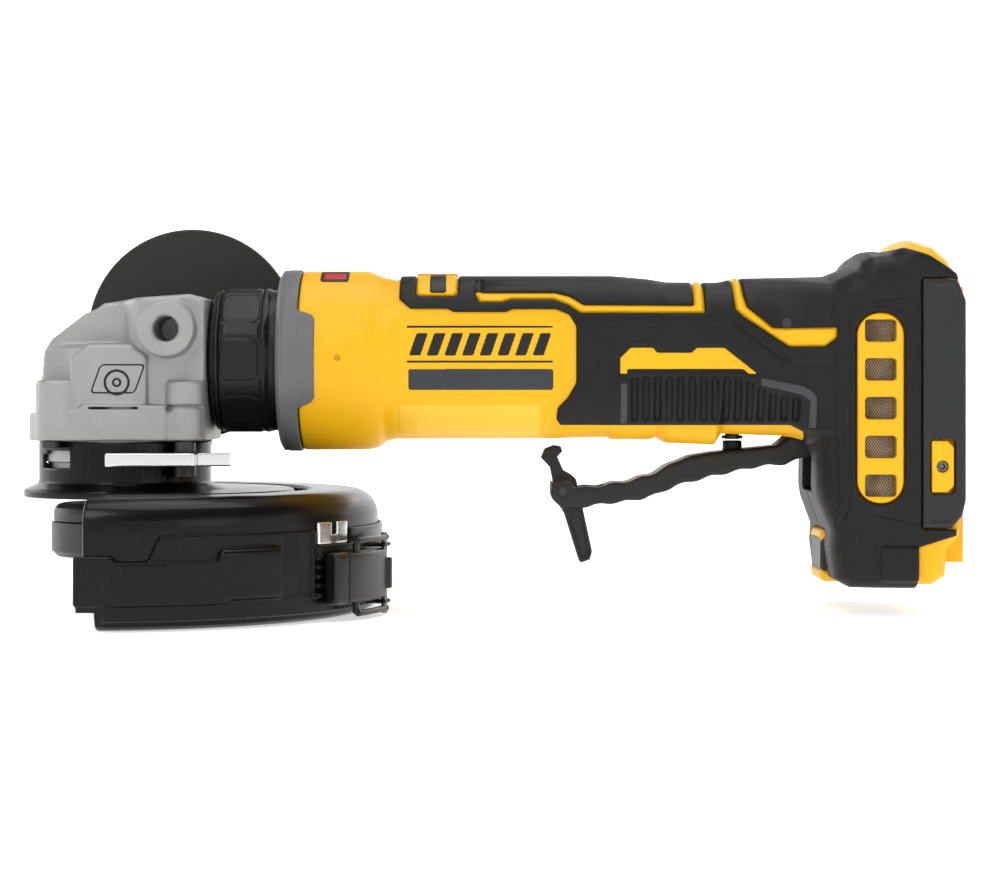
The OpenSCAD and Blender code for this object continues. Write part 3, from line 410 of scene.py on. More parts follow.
class Paint:
    """One material under construction: its node tree and its main shader."""

    def __init__(self, name: str) -> None:
        """Starts a material with that name."""
        self.material = bpy.data.materials.new(name)
        self.material.use_nodes = True
        self.tree = self.material.node_tree
        self.shader = self.tree.nodes["Principled BSDF"]
        self.place = self.node("ShaderNodeTexCoord").outputs["Object"]

    def node(self, kind: str, settings: dict[str, Any] | None = None,
             **inputs: Any) -> bpy.types.Node:
        """Adds any node.

        Args:
            kind: The node's type.
            settings: Values of its own properties; "stops" fills a ramp.
            **inputs: Values or links of its sockets, with _ for a space.

        Returns:
            The node.
        """
        made = self.tree.nodes.new(kind)
        for key, value in (settings or {}).items():
            if key == "stops":
                self._fill_ramp(made.color_ramp, value)
            else:
                setattr(made, key, value)
        for key, value in inputs.items():
            index = key.replace("_", " ")
            socket = made.inputs[int(index[1:]) if index[1:].isdigit() else index]
            self.feed(socket, value)
        return made

    @staticmethod
    def _fill_ramp(ramp: bpy.types.ColorRamp, stops: Sequence[tuple[float, Colour]]) -> None:
        """Sets a ramp's stops.

        Args:
            ramp: The ramp.
            stops: A position and a colour for each.
        """
        while len(ramp.elements) < len(stops):
            ramp.elements.new(0.5)
        for element, (position, colour) in zip(ramp.elements, stops):
            element.position = position
            element.color = (*colour, 1)

    def feed(self, socket: bpy.types.NodeSocket, value: Any) -> None:
        """Links or sets one socket.

        Args:
            socket: The socket.
            value: A signal, another socket, a colour or a number.
        """
        if isinstance(value, Signal):
            self.tree.links.new(value.socket, socket)
        elif isinstance(value, bpy.types.NodeSocket):
            self.tree.links.new(value, socket)
        elif isinstance(value, tuple) and len(value) == 3 and socket.type == "RGBA":
            socket.default_value = (*value, 1)
        else:
            socket.default_value = value

    def signal(self, socket: bpy.types.NodeSocket) -> Signal:
        """A socket as a number for shader sums."""
        return Signal(self.tree, socket)

    def stretched(self, along: tuple[float, float, float]) -> bpy.types.NodeSocket:
        """The place on the piece, times a factor for each axis."""
        scaled = self.node("ShaderNodeVectorMath", {"operation": "MULTIPLY"},
                           _0=self.place, _1=along)
        return scaled.outputs[0]

    def noise(self, grain_mm: float, detail: float = 2.0,
              place: bpy.types.NodeSocket | None = None) -> Signal:
        """Soft noise.

        Args:
            grain_mm: Size of its grains.
            detail: How many finer layers it has.
            place: Where it is read, the piece's own place if left out.

        Returns:
            The noise, about 0.5 on average.
        """
        made = self.node("ShaderNodeTexNoise", Vector=place or self.place,
                         Scale=1000 / grain_mm, Detail=detail)
        return self.signal(made.outputs[0])

    def ramp(self, factor: Signal, *stops: tuple[float, Colour]) -> bpy.types.NodeSocket:
        """Colours along a signal."""
        return self.node("ShaderNodeValToRGB", {"stops": stops}, Fac=factor).outputs[0]

    def mix(self, factor: Signal, first: Any, second: Any) -> bpy.types.NodeSocket:
        """Mixes two colours.

        Args:
            factor: Share of the second.
            first: A colour or its socket.
            second: A colour or its socket.

        Returns:
            The mixed colour's socket.
        """
        made = self.node("ShaderNodeMix", {"data_type": "RGBA"}, Factor=factor)
        self.feed(made.inputs[6], first)
        self.feed(made.inputs[7], second)
        return made.outputs[2]

    def bump(self, height: Signal, depth_mm: float, strength: float = 1.0) -> None:
        """Adds relief to the surface.

        Args:
            height: The relief, 0 to 1.
            depth_mm: Its depth where the height is 1.
            strength: How much of it shows.
        """
        made = self.node("ShaderNodeBump", Height=height, Strength=strength,
                         Distance=depth_mm * MM)
        if self.shader.inputs["Normal"].links:
            self.feed(made.inputs["Normal"], self.shader.inputs["Normal"].links[0].from_socket)
        self.feed(self.shader.inputs["Normal"], made.outputs[0])

    def finish(self, **inputs: Any) -> bpy.types.Material:
        """Sets the main shader's sockets.

        Args:
            **inputs: Values or links of its sockets, with _ for a space.

        Returns:
            The material.
        """
        for key, value in inputs.items():
            self.feed(self.shader.inputs[key.replace("_", " ")], value)
        return self.material


@dataclass(frozen=True)
class Moulded:
    """Moulded plastic, painted metal or rubber: a colour with fine relief."""

    name: str
    colour: Colour
    roughness: float = 0.4
    grain: float = 0.35
    depth: float = 0.02
    mottle: float = 0.12
    coat: float = 0.0
    wear: float = 0.04
    shine: float = 0.5

    def build(self) -> bpy.types.Material:
        """Makes the material.

        Returns:
            The material.
        """
        paint = Paint(self.name)
        cloud = paint.noise(28, 3)
        fine = paint.noise(self.grain, 3)
        scuff = paint.noise(1.4, 4, paint.stretched((1, 1, 6))) > 0.72
        dark = tuple(c * (1 - self.mottle) for c in self.colour)
        light = tuple(min(1.0, c * (1 + self.mottle)) for c in self.colour)
        worn = tuple(c + (0.5 - c) * self.wear for c in self.colour)
        shade = paint.ramp(cloud * 0.6 + fine * 0.4, (0.35, dark), (0.65, light))
        paint.bump(fine, self.depth)
        paint.bump(cloud, 0.05)
        return paint.finish(
            Base_Color=paint.mix(scuff * 0.5, shade, worn),
            Roughness=cloud * 0.12 + fine * 0.1 + (self.roughness - 0.11),
            Coat_Weight=self.coat, Coat_Roughness=0.08, Specular_IOR_Level=self.shine)


@dataclass(frozen=True)
class Metal:
    """Cast, ground, plated or sintered metal."""

    name: str
    colour: Colour
    roughness: float = 0.35
    grain: float = 0.5
    depth: float = 0.01
    brushed: tuple[float, float, float] = (1, 1, 1)
    metallic: float = 1.0
    stain: float = 0.15

    def build(self) -> bpy.types.Material:
        """Makes the material.

        Returns:
            The material.
        """
        paint = Paint(self.name)
        cloud = paint.noise(12, 4)
        fine = paint.noise(self.grain, 4, paint.stretched(self.brushed))
        dark = tuple(c * (1 - self.stain) for c in self.colour)
        light = tuple(min(1.0, c * (1 + self.stain * 0.6)) for c in self.colour)
        paint.bump(fine, self.depth)
        return paint.finish(
            Base_Color=paint.ramp(cloud * 0.5 + fine * 0.5, (0.3, dark), (0.7, light)),
            Roughness=fine * 0.2 + cloud * 0.16 + (self.roughness - 0.18),
            Metallic=self.metallic)


@dataclass(frozen=True)
class WovenWire:
    """Fine square wire cloth behind an opening, on a solid sheet whose gaps are painted shade."""

    name: str
    wire: Colour
    # Colour of the gaps between wires: painted shade of the housing's inside.
    hole: Colour
    pitch: float = 0.9

    def build(self) -> bpy.types.Material:
        """Makes the material.

        Returns:
            The material.
        """
        paint = Paint(self.name)
        split = paint.node("ShaderNodeSeparateXYZ", Vector=paint.place)
        turn = 2 * math.pi / (self.pitch * MM)
        along, up = (paint.signal(split.outputs[axis]) * turn for axis in "XZ")
        over = (along + up * 0.7).sine().larger((along - up * 0.7).sine()) * 0.5 + 0.5
        paint.bump(over, 0.25)
        dirt = paint.noise(9, 3)
        wire = paint.ramp(dirt, (0.4, self.wire), (0.62, tuple(c * 0.5 for c in self.wire)))
        # The wires lie over the gap colour, which is painted shade.
        return paint.finish(
            Base_Color=paint.mix(over ** 3.0, self.hole, wire),
            Roughness=0.7 - over * 0.4, Metallic=over ** 3.0 * 0.8)


class Finish(Enum):
    """The finishes of this tool."""

    CAST = Metal("cast_alloy", (0.37, 0.37, 0.36), 0.5, 0.45, 0.07, metallic=0.5, stain=0.14)
    SCREW = Metal("screw_steel", (0.2, 0.2, 0.205), 0.4, 0.4)
    SPINDLE = Metal("spindle_steel", (0.5, 0.5, 0.5), 0.3, 0.3, brushed=(1, 1, 12))
    GEAR = Metal("gear_steel", (0.3, 0.3, 0.31), 0.36, 0.4)
    BEARING = Metal("bearing_steel", (0.55, 0.55, 0.55), 0.22, 0.5)
    PLATE = Metal("plate_steel", (0.05, 0.05, 0.052), 0.42, 0.5, 0.02, metallic=0.6)
    BRIGHT = Metal("bright_steel", (0.76, 0.76, 0.75), 0.22, 0.6, 0.006, (1, 1, 8), stain=0.05)
    NOSE = Moulded("nose_plastic", (0.009, 0.009, 0.0095), 0.42, 0.5, 0.03, shine=0.3)
    RING = Moulded("ring_plastic", (0.15, 0.15, 0.154), 0.5, 0.4, 0.03, shine=0.3)
    HANDLE_STEEL = Metal("handle_steel", (0.5, 0.5, 0.5), 0.3, 0.5)
    HANDLE = Moulded("handle_plastic", (0.025, 0.025, 0.024), 0.62, 0.4, 0.04, shine=0.3)
    HANDLE_RUBBER = Moulded("handle_rubber", (0.019, 0.019, 0.019), 0.7, 0.5, 0.06, shine=0.3)
    GUARD = Moulded("guard_paint", (0.0022, 0.0022, 0.0026), 0.3, 0.9, 0.012, coat=0.1,
                    shine=0.18)
    CATCH = Moulded("catch_black", (0.004, 0.004, 0.0045), 0.34, 0.6, 0.015, shine=0.4)
    CORE = Metal("core_steel", (0.2, 0.2, 0.21), 0.5, 0.6, brushed=(14, 1, 1))
    COPPER = Metal("copper_wire", (0.72, 0.32, 0.13), 0.32, 0.8, 0.08, (1, 6, 1))
    FAN = Moulded("fan_plastic", (0.03, 0.03, 0.03), 0.45)
    BOARD = Moulded("board_green", (0.02, 0.12, 0.05), 0.35, 0.9, 0.03)
    LEAD = Moulded("lead_plastic", (0.4, 0.02, 0.02), 0.45)
    YELLOW = Moulded("shell_yellow", (0.9, 0.47, 0.006), 0.44, 0.3, 0.014, 0.04, wear=0.05,
                     shine=0.3)
    RUBBER = Moulded("grip_rubber", (0.0055, 0.0055, 0.006), 0.52, 0.32, 0.06, 0.2, wear=0.01,
                     shine=0.3)
    MODULE = Metal("module_alloy", (0.45, 0.45, 0.46), 0.45, 0.6)
    SWITCH = Moulded("switch_plastic", (0.015, 0.015, 0.017), 0.4)
    # The mesh's second colour is painted shade seen through the gaps of the wire cloth.
    MESH = WovenWire("mesh_wire", (0.5, 0.4, 0.26), (0.012, 0.01, 0.008))
    CONTACT = Metal("contact_metal", (0.8, 0.62, 0.3), 0.25, 0.4)
    LEVER = Moulded("lever_plastic", (0.012, 0.012, 0.0125), 0.45, 0.4, 0.03, shine=0.35)
    PANEL = Moulded("panel_plastic", (0.018, 0.0185, 0.0195), 0.42, 0.3, 0.015, shine=0.35)
    INK = Moulded("label_ink", (0.012, 0.012, 0.013), 0.42, 0.5, 0.004, shine=0.3)
    BADGE = Moulded("label_badge", (0.04, 0.044, 0.05), 0.4, 0.5, 0.004, shine=0.3)
    STICKER = Moulded("label_sticker", (0.95, 0.55, 0.035), 0.36, 0.8, 0.004, 0.03, shine=0.4)
    AMBER = Moulded("label_amber", (0.6, 0.27, 0.01), 0.44, 0.5, 0.004, shine=0.3)
    RED = Moulded("label_red", (0.5, 0.008, 0.02), 0.4, 0.5, 0.004)
    GREY = Moulded("grip_grey", (0.055, 0.056, 0.06), 0.5, 0.35, 0.03, shine=0.3)


# CAD nodes that keep their own shape, by finish.
KEPT_NODES: tuple[tuple[Finish, tuple[str, ...]], ...] = (
    (Finish.SCREW, ("bearing_ring", "pinion_nut", "button_spring", "paddle_pin", "catch_pin")),
    (Finish.SPINDLE, ("spindle", "rotor_shaft")),
    (Finish.GEAR, ("ring_gear", "pinion")),
    (Finish.BEARING, ("spindle_bearing", "spindle_bush", "front_bearing", "rear_bearing")),
    (Finish.PLATE, ("backing_flange", "clamp_nut", "lever_screw", "lever_spring", "lock_pin",
                    "cover_screws", "housing_screws")),
    (Finish.CORE, ("rotor", "stator")),
    (Finish.COPPER, ("windings",)),
    (Finish.FAN, ("fan",)),
    (Finish.BOARD, ("sensor_board",)),
    (Finish.LEAD, ("motor_leads", "battery_leads")),
    (Finish.MODULE, ("control_module",)),
    (Finish.SWITCH, ("switch_body", "switch_plunger", "terminal_block")),
    (Finish.CONTACT, ("terminals",)),
    (Finish.YELLOW, ("rail_frame", "status_window")),
    (Finish.HANDLE_STEEL, ("handle_core",)),
)


class Workshop:
    """Puts finished pieces on the frame."""

    def __init__(self) -> None:
        """Starts with no material made."""
        self.made: dict[Finish, bpy.types.Material] = {}

    def material(self, finish: Finish) -> bpy.types.Material:
        """The material of a finish, made once."""
        if finish not in self.made:
            self.made[finish] = finish.value.build()
        return self.made[finish]

    def place(self, piece: bpy.types.Object, finish: Finish, body: str = "root",
              nodes: Sequence[str] = (), slot: str = "") -> None:
        """Dresses a piece and lets it ride on its body.

        Args:
            piece: The object.
            finish: Its finish.
            body: CAD body that it moves with.
            nodes: CAD nodes that it stands for.
            slot: Material slot of the record, if the finish has one; not used.
        """
        piece.data.materials.clear()
        piece.data.materials.append(self.material(finish))
        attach(piece, body)
        if nodes:
            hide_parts(*nodes)

    def add(self, name: str, space: Space, field: Field, finish: Finish,
            share: float = 0.4, **role: Any) -> None:
        """Builds, dresses and places one piece.

        Args:
            name: The piece's name.
            space: The space that its field lies in.
            field: Its distance field.
            finish: Its finish.
            share: Share of the faces to keep.
            **role: Its body, nodes and slot, as place takes them.
        """
        self.place(make_piece(name, Shape(space, field), share), finish, **role)

    def dress_kept(self) -> None:
        """Gives each CAD node that stays in view its finish."""
        for finish, nodes in KEPT_NODES:
            for node in nodes:
                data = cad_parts[node].data
                data.materials.clear()
                data.materials.append(self.material(finish))
                log.info("%s: dressed", node)


@dataclass
class Housing:
    """The yellow halves, their rubber and what is let into them."""

    shop: Workshop
    step: float = 0.5
    start: float = 60.8
    end: float = 280.0
    rubber: float = 1.2
    dock_x: float = 267.0
    dock_half: float = 30.0
    dock_top: float = 78.0
    # Along the tool: x, top, bottom, half width and corner radius of the grip.
    stations: tuple[tuple[float, ...], ...] = (
        (60, 84.3, 23.7, 30.3, 30.3), (81.8, 84.3, 23.7, 30.3, 30.3),
        (84, 83.9, 24.0, 30.1, 29.6), (86.5, 82.8, 24.6, 29.6, 28),
        (89, 81.7, 26.8, 28.8, 24), (92.5, 81.0, 27.5, 28, 20), (100, 81.0, 27.6, 27.5, 17),
        (146, 81.0, 27.8, 27.4, 16.5), (163, 81.0, 28.1, 27.3, 16.5),
        (164.5, 81.0, 27.3, 27.3, 16.5), (177, 79.9, 27.3, 27.2, 16.5),
        (179.9, 79.4, 28.3, 27.2, 16.5), (182.8, 78.9, 26.2, 27, 16.5),
        (199, 78.8, 25.6, 26.8, 16.5), (201.2, 78.8, 29.2, 26.8, 16.5),
        (228, 78.8, 28.2, 26.5, 16.5), (262, 79, 27, 27, 16.5))
    foot: Points = (
        (206, 45), (224, 33), (231.5, 27), (232.8, 22), (232.6, 12), (233.2, 8),
        (235.4, 2.4), (237.2, -2), (236.8, -8), (238, -17.4), (242, -19.6), (268.5, -19.8),
        (272.8, -17), (274, -8), (277.6, -4), (279.3, 4), (280, 10), (280, 76),
        (278.6, 82), (273.2, 89.6), (269, 93.2), (263.5, 94.6), (259.5, 93.2),
        (256, 90.2), (249, 89.2), (246.2, 87.4), (244.6, 84.6), (236, 80), (206, 78.8))
    foot_plan: Points = (
        (196, -10), (222, -22), (233, -29.5), (241, -34), (249, -35.9), (279.2, -36),
        (280.2, -35), (280.2, 6), (196, 6))
    rubber_edge: Points = (
        (93.8, 99), (93.8, 74), (97.7, 70.5), (110.2, 70.5), (111.9, 69.4), (129.3, 69.4),
        (131.4, 70.4), (145.6, 70.4), (150, 68.6), (152.2, 64.8), (152.2, 46.3),
        (149.4, 41.4), (146.2, 38.1), (145.7, 34.2), (147.2, 32.2), (223.2, 32.2),
        (227.4, 30), (229, 25), (224, 10), (220, -26), (263.5, -26), (263.5, -7.5),
        (269, -5.7), (276, -3.7), (276.5, 79), (277, 80.5), (276.3, 82.2), (267, 88),
        (259.3, 90.6), (253, 90), (251, 99))
    stripe_long: Points = (
        (119.2, 75.9), (145.6, 75.9), (150.5, 74.6), (154.9, 71.8), (191.4, 71.7),
        (191.4, 90), (194.6, 90), (194.6, 69.4), (153.8, 69.4), (150, 72), (145, 73.9),
        (130.9, 73.9), (128, 73), (120.6, 73))
    stripe_short: Points = (
        (204, 90), (206.8, 90), (207.7, 74.9), (208.6, 71.3), (217, 64.2), (237.2, 64.2),
        (237.2, 61.2), (233.8, 58.3), (222.5, 58.3), (218.9, 60.6), (207.6, 68.2),
        (205.2, 70.5), (204.8, 74.9))
    light_frame: Points = (
        (99.8, 75.6), (101, 75), (112, 75), (113.2, 75.6), (113.2, 90), (99.8, 90))
    grip_panel: Points = (
        (159.3, 61.5), (163, 65.3), (204.5, 65.3), (217.4, 55.5), (222.7, 53.2),
        (238, 53.2), (238, 30), (160, 30))
    badge: Points = (
        (166.7, 49.1), (166.7, 54.4), (170.2, 57.9), (177.5, 57.9), (179, 56.2),
        (190.1, 56.2), (191.9, 57.9), (201, 57.9), (212.1, 49.1), (209.2, 49.1),
        (207.1, 50.7), (169.2, 50.7), (169.2, 49.1))
    flank_line: Points = (
        (237.5, -1), (241, 6), (240.5, 66), (243, 72.5), (254, 73.5), (263.5, 75),
        (290, 75), (290, 0.5), (263.5, 0.5), (249, 3.5), (243, 0.5), (246, -6.6), (300, -6.6),
        (300, 120), (240, 120), (236, 70))
    barrel_mark: tuple[float, float] = (74, 54.4)
    rib_first: float = 171.5
    rib_pitch: float = 3.79
    rib_tops: tuple[float, ...] = (48.2,) * 10 + (47, 44.7, 42.9, 41.7, 41.4)
    rib_foot: float = 33.8
    rib_half: float = 1.0
    accent: Points = (
        (213, 48), (226.8, 45.2), (230.2, 43.2), (231.3, 41), (230.9, 31.4), (228.5, 31.4),
        (228.9, 40.3), (226.3, 42.2), (213, 45.4))

    def __post_init__(self) -> None:
        """Lays out the near half and the fields that its pieces share."""
        self.s = Space((self.start - 0.5, -38.6, -21.5), (281, 0.6, 97), self.step)
        self.form = self.outer_form()
        self.area = self.rubber_side()
        panel_seat = self.s.block((264.3, -60, -1.4), (300, -33.7, 80.4), 0.8)
        self.open_parts = meet(self.openings(), panel_seat)
        self.half = self.s.y + 0.08

    def outer_form(self) -> Field:
        """Shapes the hard housing's outer surface, as if it were solid.

        Returns:
            Its distance field.
        """
        s = self.s
        xs, *columns = np.array(self.stations).T
        top, bottom, half, corner = (np.interp(s.x, xs, c).astype(np.float32) for c in columns)
        grip = rounded_box(s.y, s.z - (top + bottom) / 2, half, (top - bottom) / 2, corner)
        grip = keep(grip, s.slab("x", self.start, 262), 1.2)
        crown = (s.y / 36) ** 2 * 4 * step_up(66 - s.z, 20)
        foot = outline_distance(s.x, s.z + crown, self.foot)
        foot = keep(foot, s.plan(self.foot_plan), 7)
        return meet(grip, foot, 6)

    def rubber_side(self) -> Field:
        """Lays out the rubber's area in side view, with the stripes left out.

        Returns:
            The distance from its edge.
        """
        s = self.s
        area = s.side(self.rubber_edge)
        for stripe in (self.stripe_long, self.stripe_short, self.light_frame):
            area = cut(area, s.side(stripe), 0.6)
        return area

    def openings(self) -> Field:
        """Joins what both the housing and its rubber leave open.

        Returns:
            The distance field of the dock, the vents, the slots and the paddle's sweep.
        """
        s = self.s
        dock = s.block((self.dock_x, -self.dock_half, -30), (300, 60, self.dock_top), 2)
        vent = keep(rounded_box(s.x - 251, s.z - 38, 7.8, 31.3, 7.4),
                    s.slab("y", -40, -31.5))
        paddle = s.block((199, -11.4, 10), (241.5, 40, 33), 1)
        lever = s.block((128.4, -6.1, 15), (154.5, 40, 32.9), 0.6)
        plunger = s.bar("z", (206.2, 0), 4.3, 10, 42)
        tag = s.block((228.4, -13, -30), (244.6, 40, -2.7), 1)
        hole = dock
        for other in (vent, paddle, lever, plunger, tag):
            hole = meet(hole, other)
        for turn in (3.5, 7.0):
            swung = s.side(Paddle(self.shop).swung(turn)) - 0.5
            hole = meet(hole, keep(swung, np.abs(s.y) - 10.9))
        return hole

    def build(self) -> None:
        """Builds every piece of the housing."""
        self.build_shell()
        self.build_rubber()
        self.build_marks()

    def add_halves(self, part: str, end: str, shape: Shape, share: float,
                   finish: Finish, slot: str) -> None:
        """Places a piece and its twin.

        Args:
            part: First words of the two nodes' names.
            end: Last word of the two pieces' names.
            shape: The near half's surface.
            share: Share of the faces to keep.
            finish: The finish.
            slot: Its material slot.
        """
        for side, mirrored in HALVES:
            node = f"{part}_{side}"
            piece = make_piece(f"{node}_{end}", shape, share, mirrored)
            self.shop.place(piece, finish, nodes=[node], slot=slot)

    def build_shell(self) -> None:
        """Builds the two yellow halves."""
        s, form, area = self.s, self.form, self.area
        proud = step_up(-area + 0.35, 0.7) * step_up(s.side(((93, 99), (93, 20), (300, 20),
                                                            (300, 99))), 2)
        label = rounded_box(s.x - 120.8, s.z - 54.9, 27.6, 12.3, 2.5)
        lower = rounded_box(s.x - 117.3, s.z - 34.2, 24, 5.9, 1.6)
        ring = np.abs(s.reach("y", self.barrel_mark) - 4.9) - 0.45
        groove = step_up(np.abs(label) - 0.3, 0.6) * 0.35 + step_up(lower, 0.5) * 0.05
        strip = step_up(np.abs(area - 1.6) - 0.25, 0.5) * step_up(s.x - 160, 1) * 0.3
        raised = proud * self.stripe_height() - groove - strip + step_up(ring, 0.4) * 0.25
        solid = keep(form - raised, self.half, 0.7)
        solid = cut(solid, self.open_parts, 0.8)
        solid = cut(solid, s.block((225.8, -12.7, 8.7), (242.7, 20, 27.6), 1))
        solid = cut(solid, s.bar("x", NOSE, 27.6, 60, 62.5), 0.4)
        self.add_halves("housing", "shell", Shape(s, solid), 0.35, Finish.YELLOW,
                        "shell_yellow")

    def stripe_height(self) -> Field:
        """Brings the yellow stripes up level with the rubber round them.

        Returns:
            How far the surface rises at each place.
        """
        s = self.s
        stripes = meet(s.side(self.stripe_long), s.side(self.stripe_short))
        stripes = meet(stripes, s.side(self.light_frame))
        return step_up(stripes - 0.3, 0.8) * (self.rubber + 0.1)

    def build_rubber(self) -> None:
        """Builds the rubber with its panel, ribs and badge recess."""
        s, form = self.s, self.form
        panel = s.side(self.grip_panel)
        ribs = np.full(panel.shape, 9.0, np.float32)
        for i, top in enumerate(self.rib_tops):
            middle, tall = (top + self.rib_foot) / 2, (top - self.rib_foot) / 2
            rib = rounded_box(s.x - self.rib_first - i * self.rib_pitch, s.z - middle,
                              self.rib_half, tall, 0.9)
            ribs = np.minimum(ribs, rib)
        bed = s.side(self.badge) - 0.9
        relief = step_up(panel, 1.0) * 0.5 - step_up(ribs, 0.7) * 1.0
        relief -= step_up(bed, 0.5) * 0.35
        vent_rim = rounded_box(s.x - 251, s.z - 38, 9.3, 33.2, 8.8)
        box = rounded_box(s.x - 257.2, s.z + 12.9, 6.3, 5.6, 1)
        pad_slot = rounded_box(s.x - 120.2, s.z - 78.4, 1.3, 2.1, 0.8)
        crease = np.abs(s.side(self.flank_line)) - 0.3
        relief += step_up(vent_rim, 0.8) * 0.35 + step_up(box, 0.8) * 1.1
        relief -= step_up(pad_slot, 0.5) * 0.8 + step_up(crease, 0.8) * 0.5
        skin = form - self.rubber - relief
        rubber = keep(keep(skin, self.area + 0.12, 0.9), self.half, 0.7)
        rubber = cut(rubber, form + 0.5)
        liner = keep(s.block((226, -12.6, 8.8), (242.6, 20, 27.5), 1), form - 0.6, 0.8)
        liner = keep(liner, self.half)
        rubber = cut(meet(rubber, liner, 0.4), self.open_parts, 0.5)
        self.add_halves("overmould", "grip", Shape(s, rubber), 0.4, Finish.RUBBER,
                        "grip_rubber")

    def build_marks(self) -> None:
        """Builds the inlays, the plain labels and the generic marks on both sides."""
        s, form = self.s, self.form
        bars = np.minimum(rounded_box(s.x - 120.7, s.z - 64.6, 24.3, 0.5, 0.4),
                          rounded_box(s.x - 120.7, s.z - 53.2, 24.3, 0.5, 0.4))
        for i in range(8):
            slant = (s.x - 100.5 - i * 5.8) - (s.z - 58.9) * 0.35
            bars = np.minimum(bars, rounded_box(slant, s.z - 58.9, 2.0, 3.9, 0.5))
        plate = rounded_box(s.x - 121, s.z - 47.4, 23.9, 3.6, 0.8)
        flank = s.slab("y", -40, -5)
        ring = s.reach("y", self.barrel_mark)
        mark = np.minimum(np.abs(ring - 4.9) - 0.3, ring - 1.4)
        marks = (
            ("label_bars", bars, 0.2, Finish.INK), ("label_plate", plate, 0.22, Finish.BADGE),
            ("lower_label", rounded_box(s.x - 117.3, s.z - 34, 23.6, 5.2, 1.6), 0.1,
             Finish.STICKER),
            ("grip_badge", s.side(self.badge), 1.65, Finish.YELLOW),
            ("grip_accent", s.side(self.accent), 2.0, Finish.GREY),
            ("grip_strip", rounded_box(s.x - 168, s.z - 39.5, 1.2, 6.7, 0.4), 2.0,
             Finish.GREY),
            ("light_cover", rounded_box(s.x - 106.8, s.z - 79.4, 2.8, 3.5, 0.8), 1.6,
             Finish.INK),
            ("top_label_frame", rounded_box(s.x - 72.1, s.z - 81.9, 4.9, 2.0, 0.5), 0.2,
             Finish.INK),
            ("top_label", rounded_box(s.x - 72.1, s.z - 81.8, 3.9, 1.3, 0.3), 0.3, Finish.RED),
            ("barrel_mark", mark, 0.2, Finish.AMBER),
        )
        for name, area, height, finish in marks:
            skin = keep(form - height, keep(area, flank), 0.25)
            shape = Shape(s, cut(skin, form + 0.6 - min(height, 1.0)))
            for side, mirrored in SIDES:
                self.shop.place(make_piece(f"{name}_{side}", shape, 0.5, mirrored), finish)


@dataclass
class Foot:
    """Side panels, vents, hook inserts and the tag pocket of the battery foot."""

    shop: Workshop
    step: float = 0.35
    face: float = 38.0
    panel: Points = (
        (264.5, -1), (274, -1), (277.4, 3), (278.6, 8), (278.6, 73), (277, 77),
        (275.6, 80), (264.5, 80))
    insert: tuple[float, float] = (271, 19)
    window_pitch: float = 12.6

    def build(self) -> None:
        """Builds the foot's pieces on both sides."""
        s = Space((263.5, -38.2, -2), (280.2, -33.5, 81), self.step)
        outline = s.side(self.panel)
        seat_x, seat_z = self.insert
        seat = rounded_box(s.x - seat_x, s.z - seat_z, 4.2, 9.0, 1.8)
        dish = step_up(outline + 2.2, 0.8) * 0.35
        plate = keep(keep(s.y + 34, -(s.y + self.face - dish), 0.8), outline, 1.4)
        plate = cut(plate, seat, 0.4)
        panel = Shape(s, plate)
        hole = s.reach("y", self.insert)
        chip = s.side(((267.4, 10.6), (272.6, 10.6), (274.7, 12.8), (274.7, 25.2),
                       (272.6, 27.4), (267.4, 27.4)))
        plug = keep(keep(s.y + 34, -(s.y + self.face - 0.3), 0.6), chip, 0.8)
        plug = cut(plug, hole - 1.95, 0.7)
        insert = Shape(s, plug)
        socket = keep(keep(hole - 1.9, 0.9 - hole, 0.2), s.slab("y", -36.4, -34.2), 0.2)
        socket = meet(socket, keep(hole - 1.2, s.slab("y", -35, -34.2)))
        v = Space((241.5, -37.5, 4), (260.5, -31, 72), self.step)
        slot = rounded_box(v.x - 251, v.z - 38, 7.5, 31, 7.4)
        frame_field = keep(keep(v.y + 33.8, -(v.y + 37.3), 0.8), slot, 1.2)
        for i in range(-2, 3):
            window = rounded_box(v.x - 251, v.z - 38 - i * self.window_pitch, 5.1, 3.6, 1.2)
            frame_field = cut(frame_field, window, 0.8)
        vent = Shape(v, frame_field)
        # Wire cloth as a solid sheet; its material paints the gaps between wires as painted
        # shade.
        mesh = Shape(v, keep(keep(v.y + 32.4, -(v.y + 33.2)), slot + 0.2, 0.2))
        parts = (
            ("foot_panel", panel, 0.5, Finish.PANEL, ["foot_panels"], ""),
            ("hook_insert", insert, 0.6, Finish.YELLOW, ["hook_inserts"], ""),
            ("hook_socket", Shape(s, socket), 1, Finish.SCREW, [], ""),
            ("vent_frame", vent, 0.5, Finish.YELLOW, ["vent_frames"], ""),
            ("vent_mesh", mesh, 0.1, Finish.MESH, ["vent_meshes"], "mesh_wire"))
        for side, mirrored in SIDES:
            for name, shape, share, finish, nodes, slot in parts:
                self.shop.place(make_piece(f"{name}_{side}", shape, share, mirrored), finish,
                                nodes=[] if mirrored else nodes, slot=slot)
        t = Space((233, -13, -20.5), (244.6, 13, -2.5), 0.4)
        pocket = t.block((234.3, -12.5, -20.3), (244.3, 12.5, -3), 2.4)
        window = t.block((230, -20, -17.2), (240.9, 20, -5.4), 1.2)
        pocket = cut(pocket, keep(window, 11.6 - np.abs(t.y)), 0.5)
        pocket = cut(pocket, t.block((230, -11, -17.2), (235.4, 11, -5.4), 1), 0.5)
        self.shop.add("tag_pocket_frame", t, pocket, Finish.YELLOW, nodes=["tag_pocket"])
        tile = t.block((234.6, -12.2, -17), (240.7, 12.2, -5.6), 1.4)
        self.shop.add("tag_tile", t, tile, Finish.PANEL)


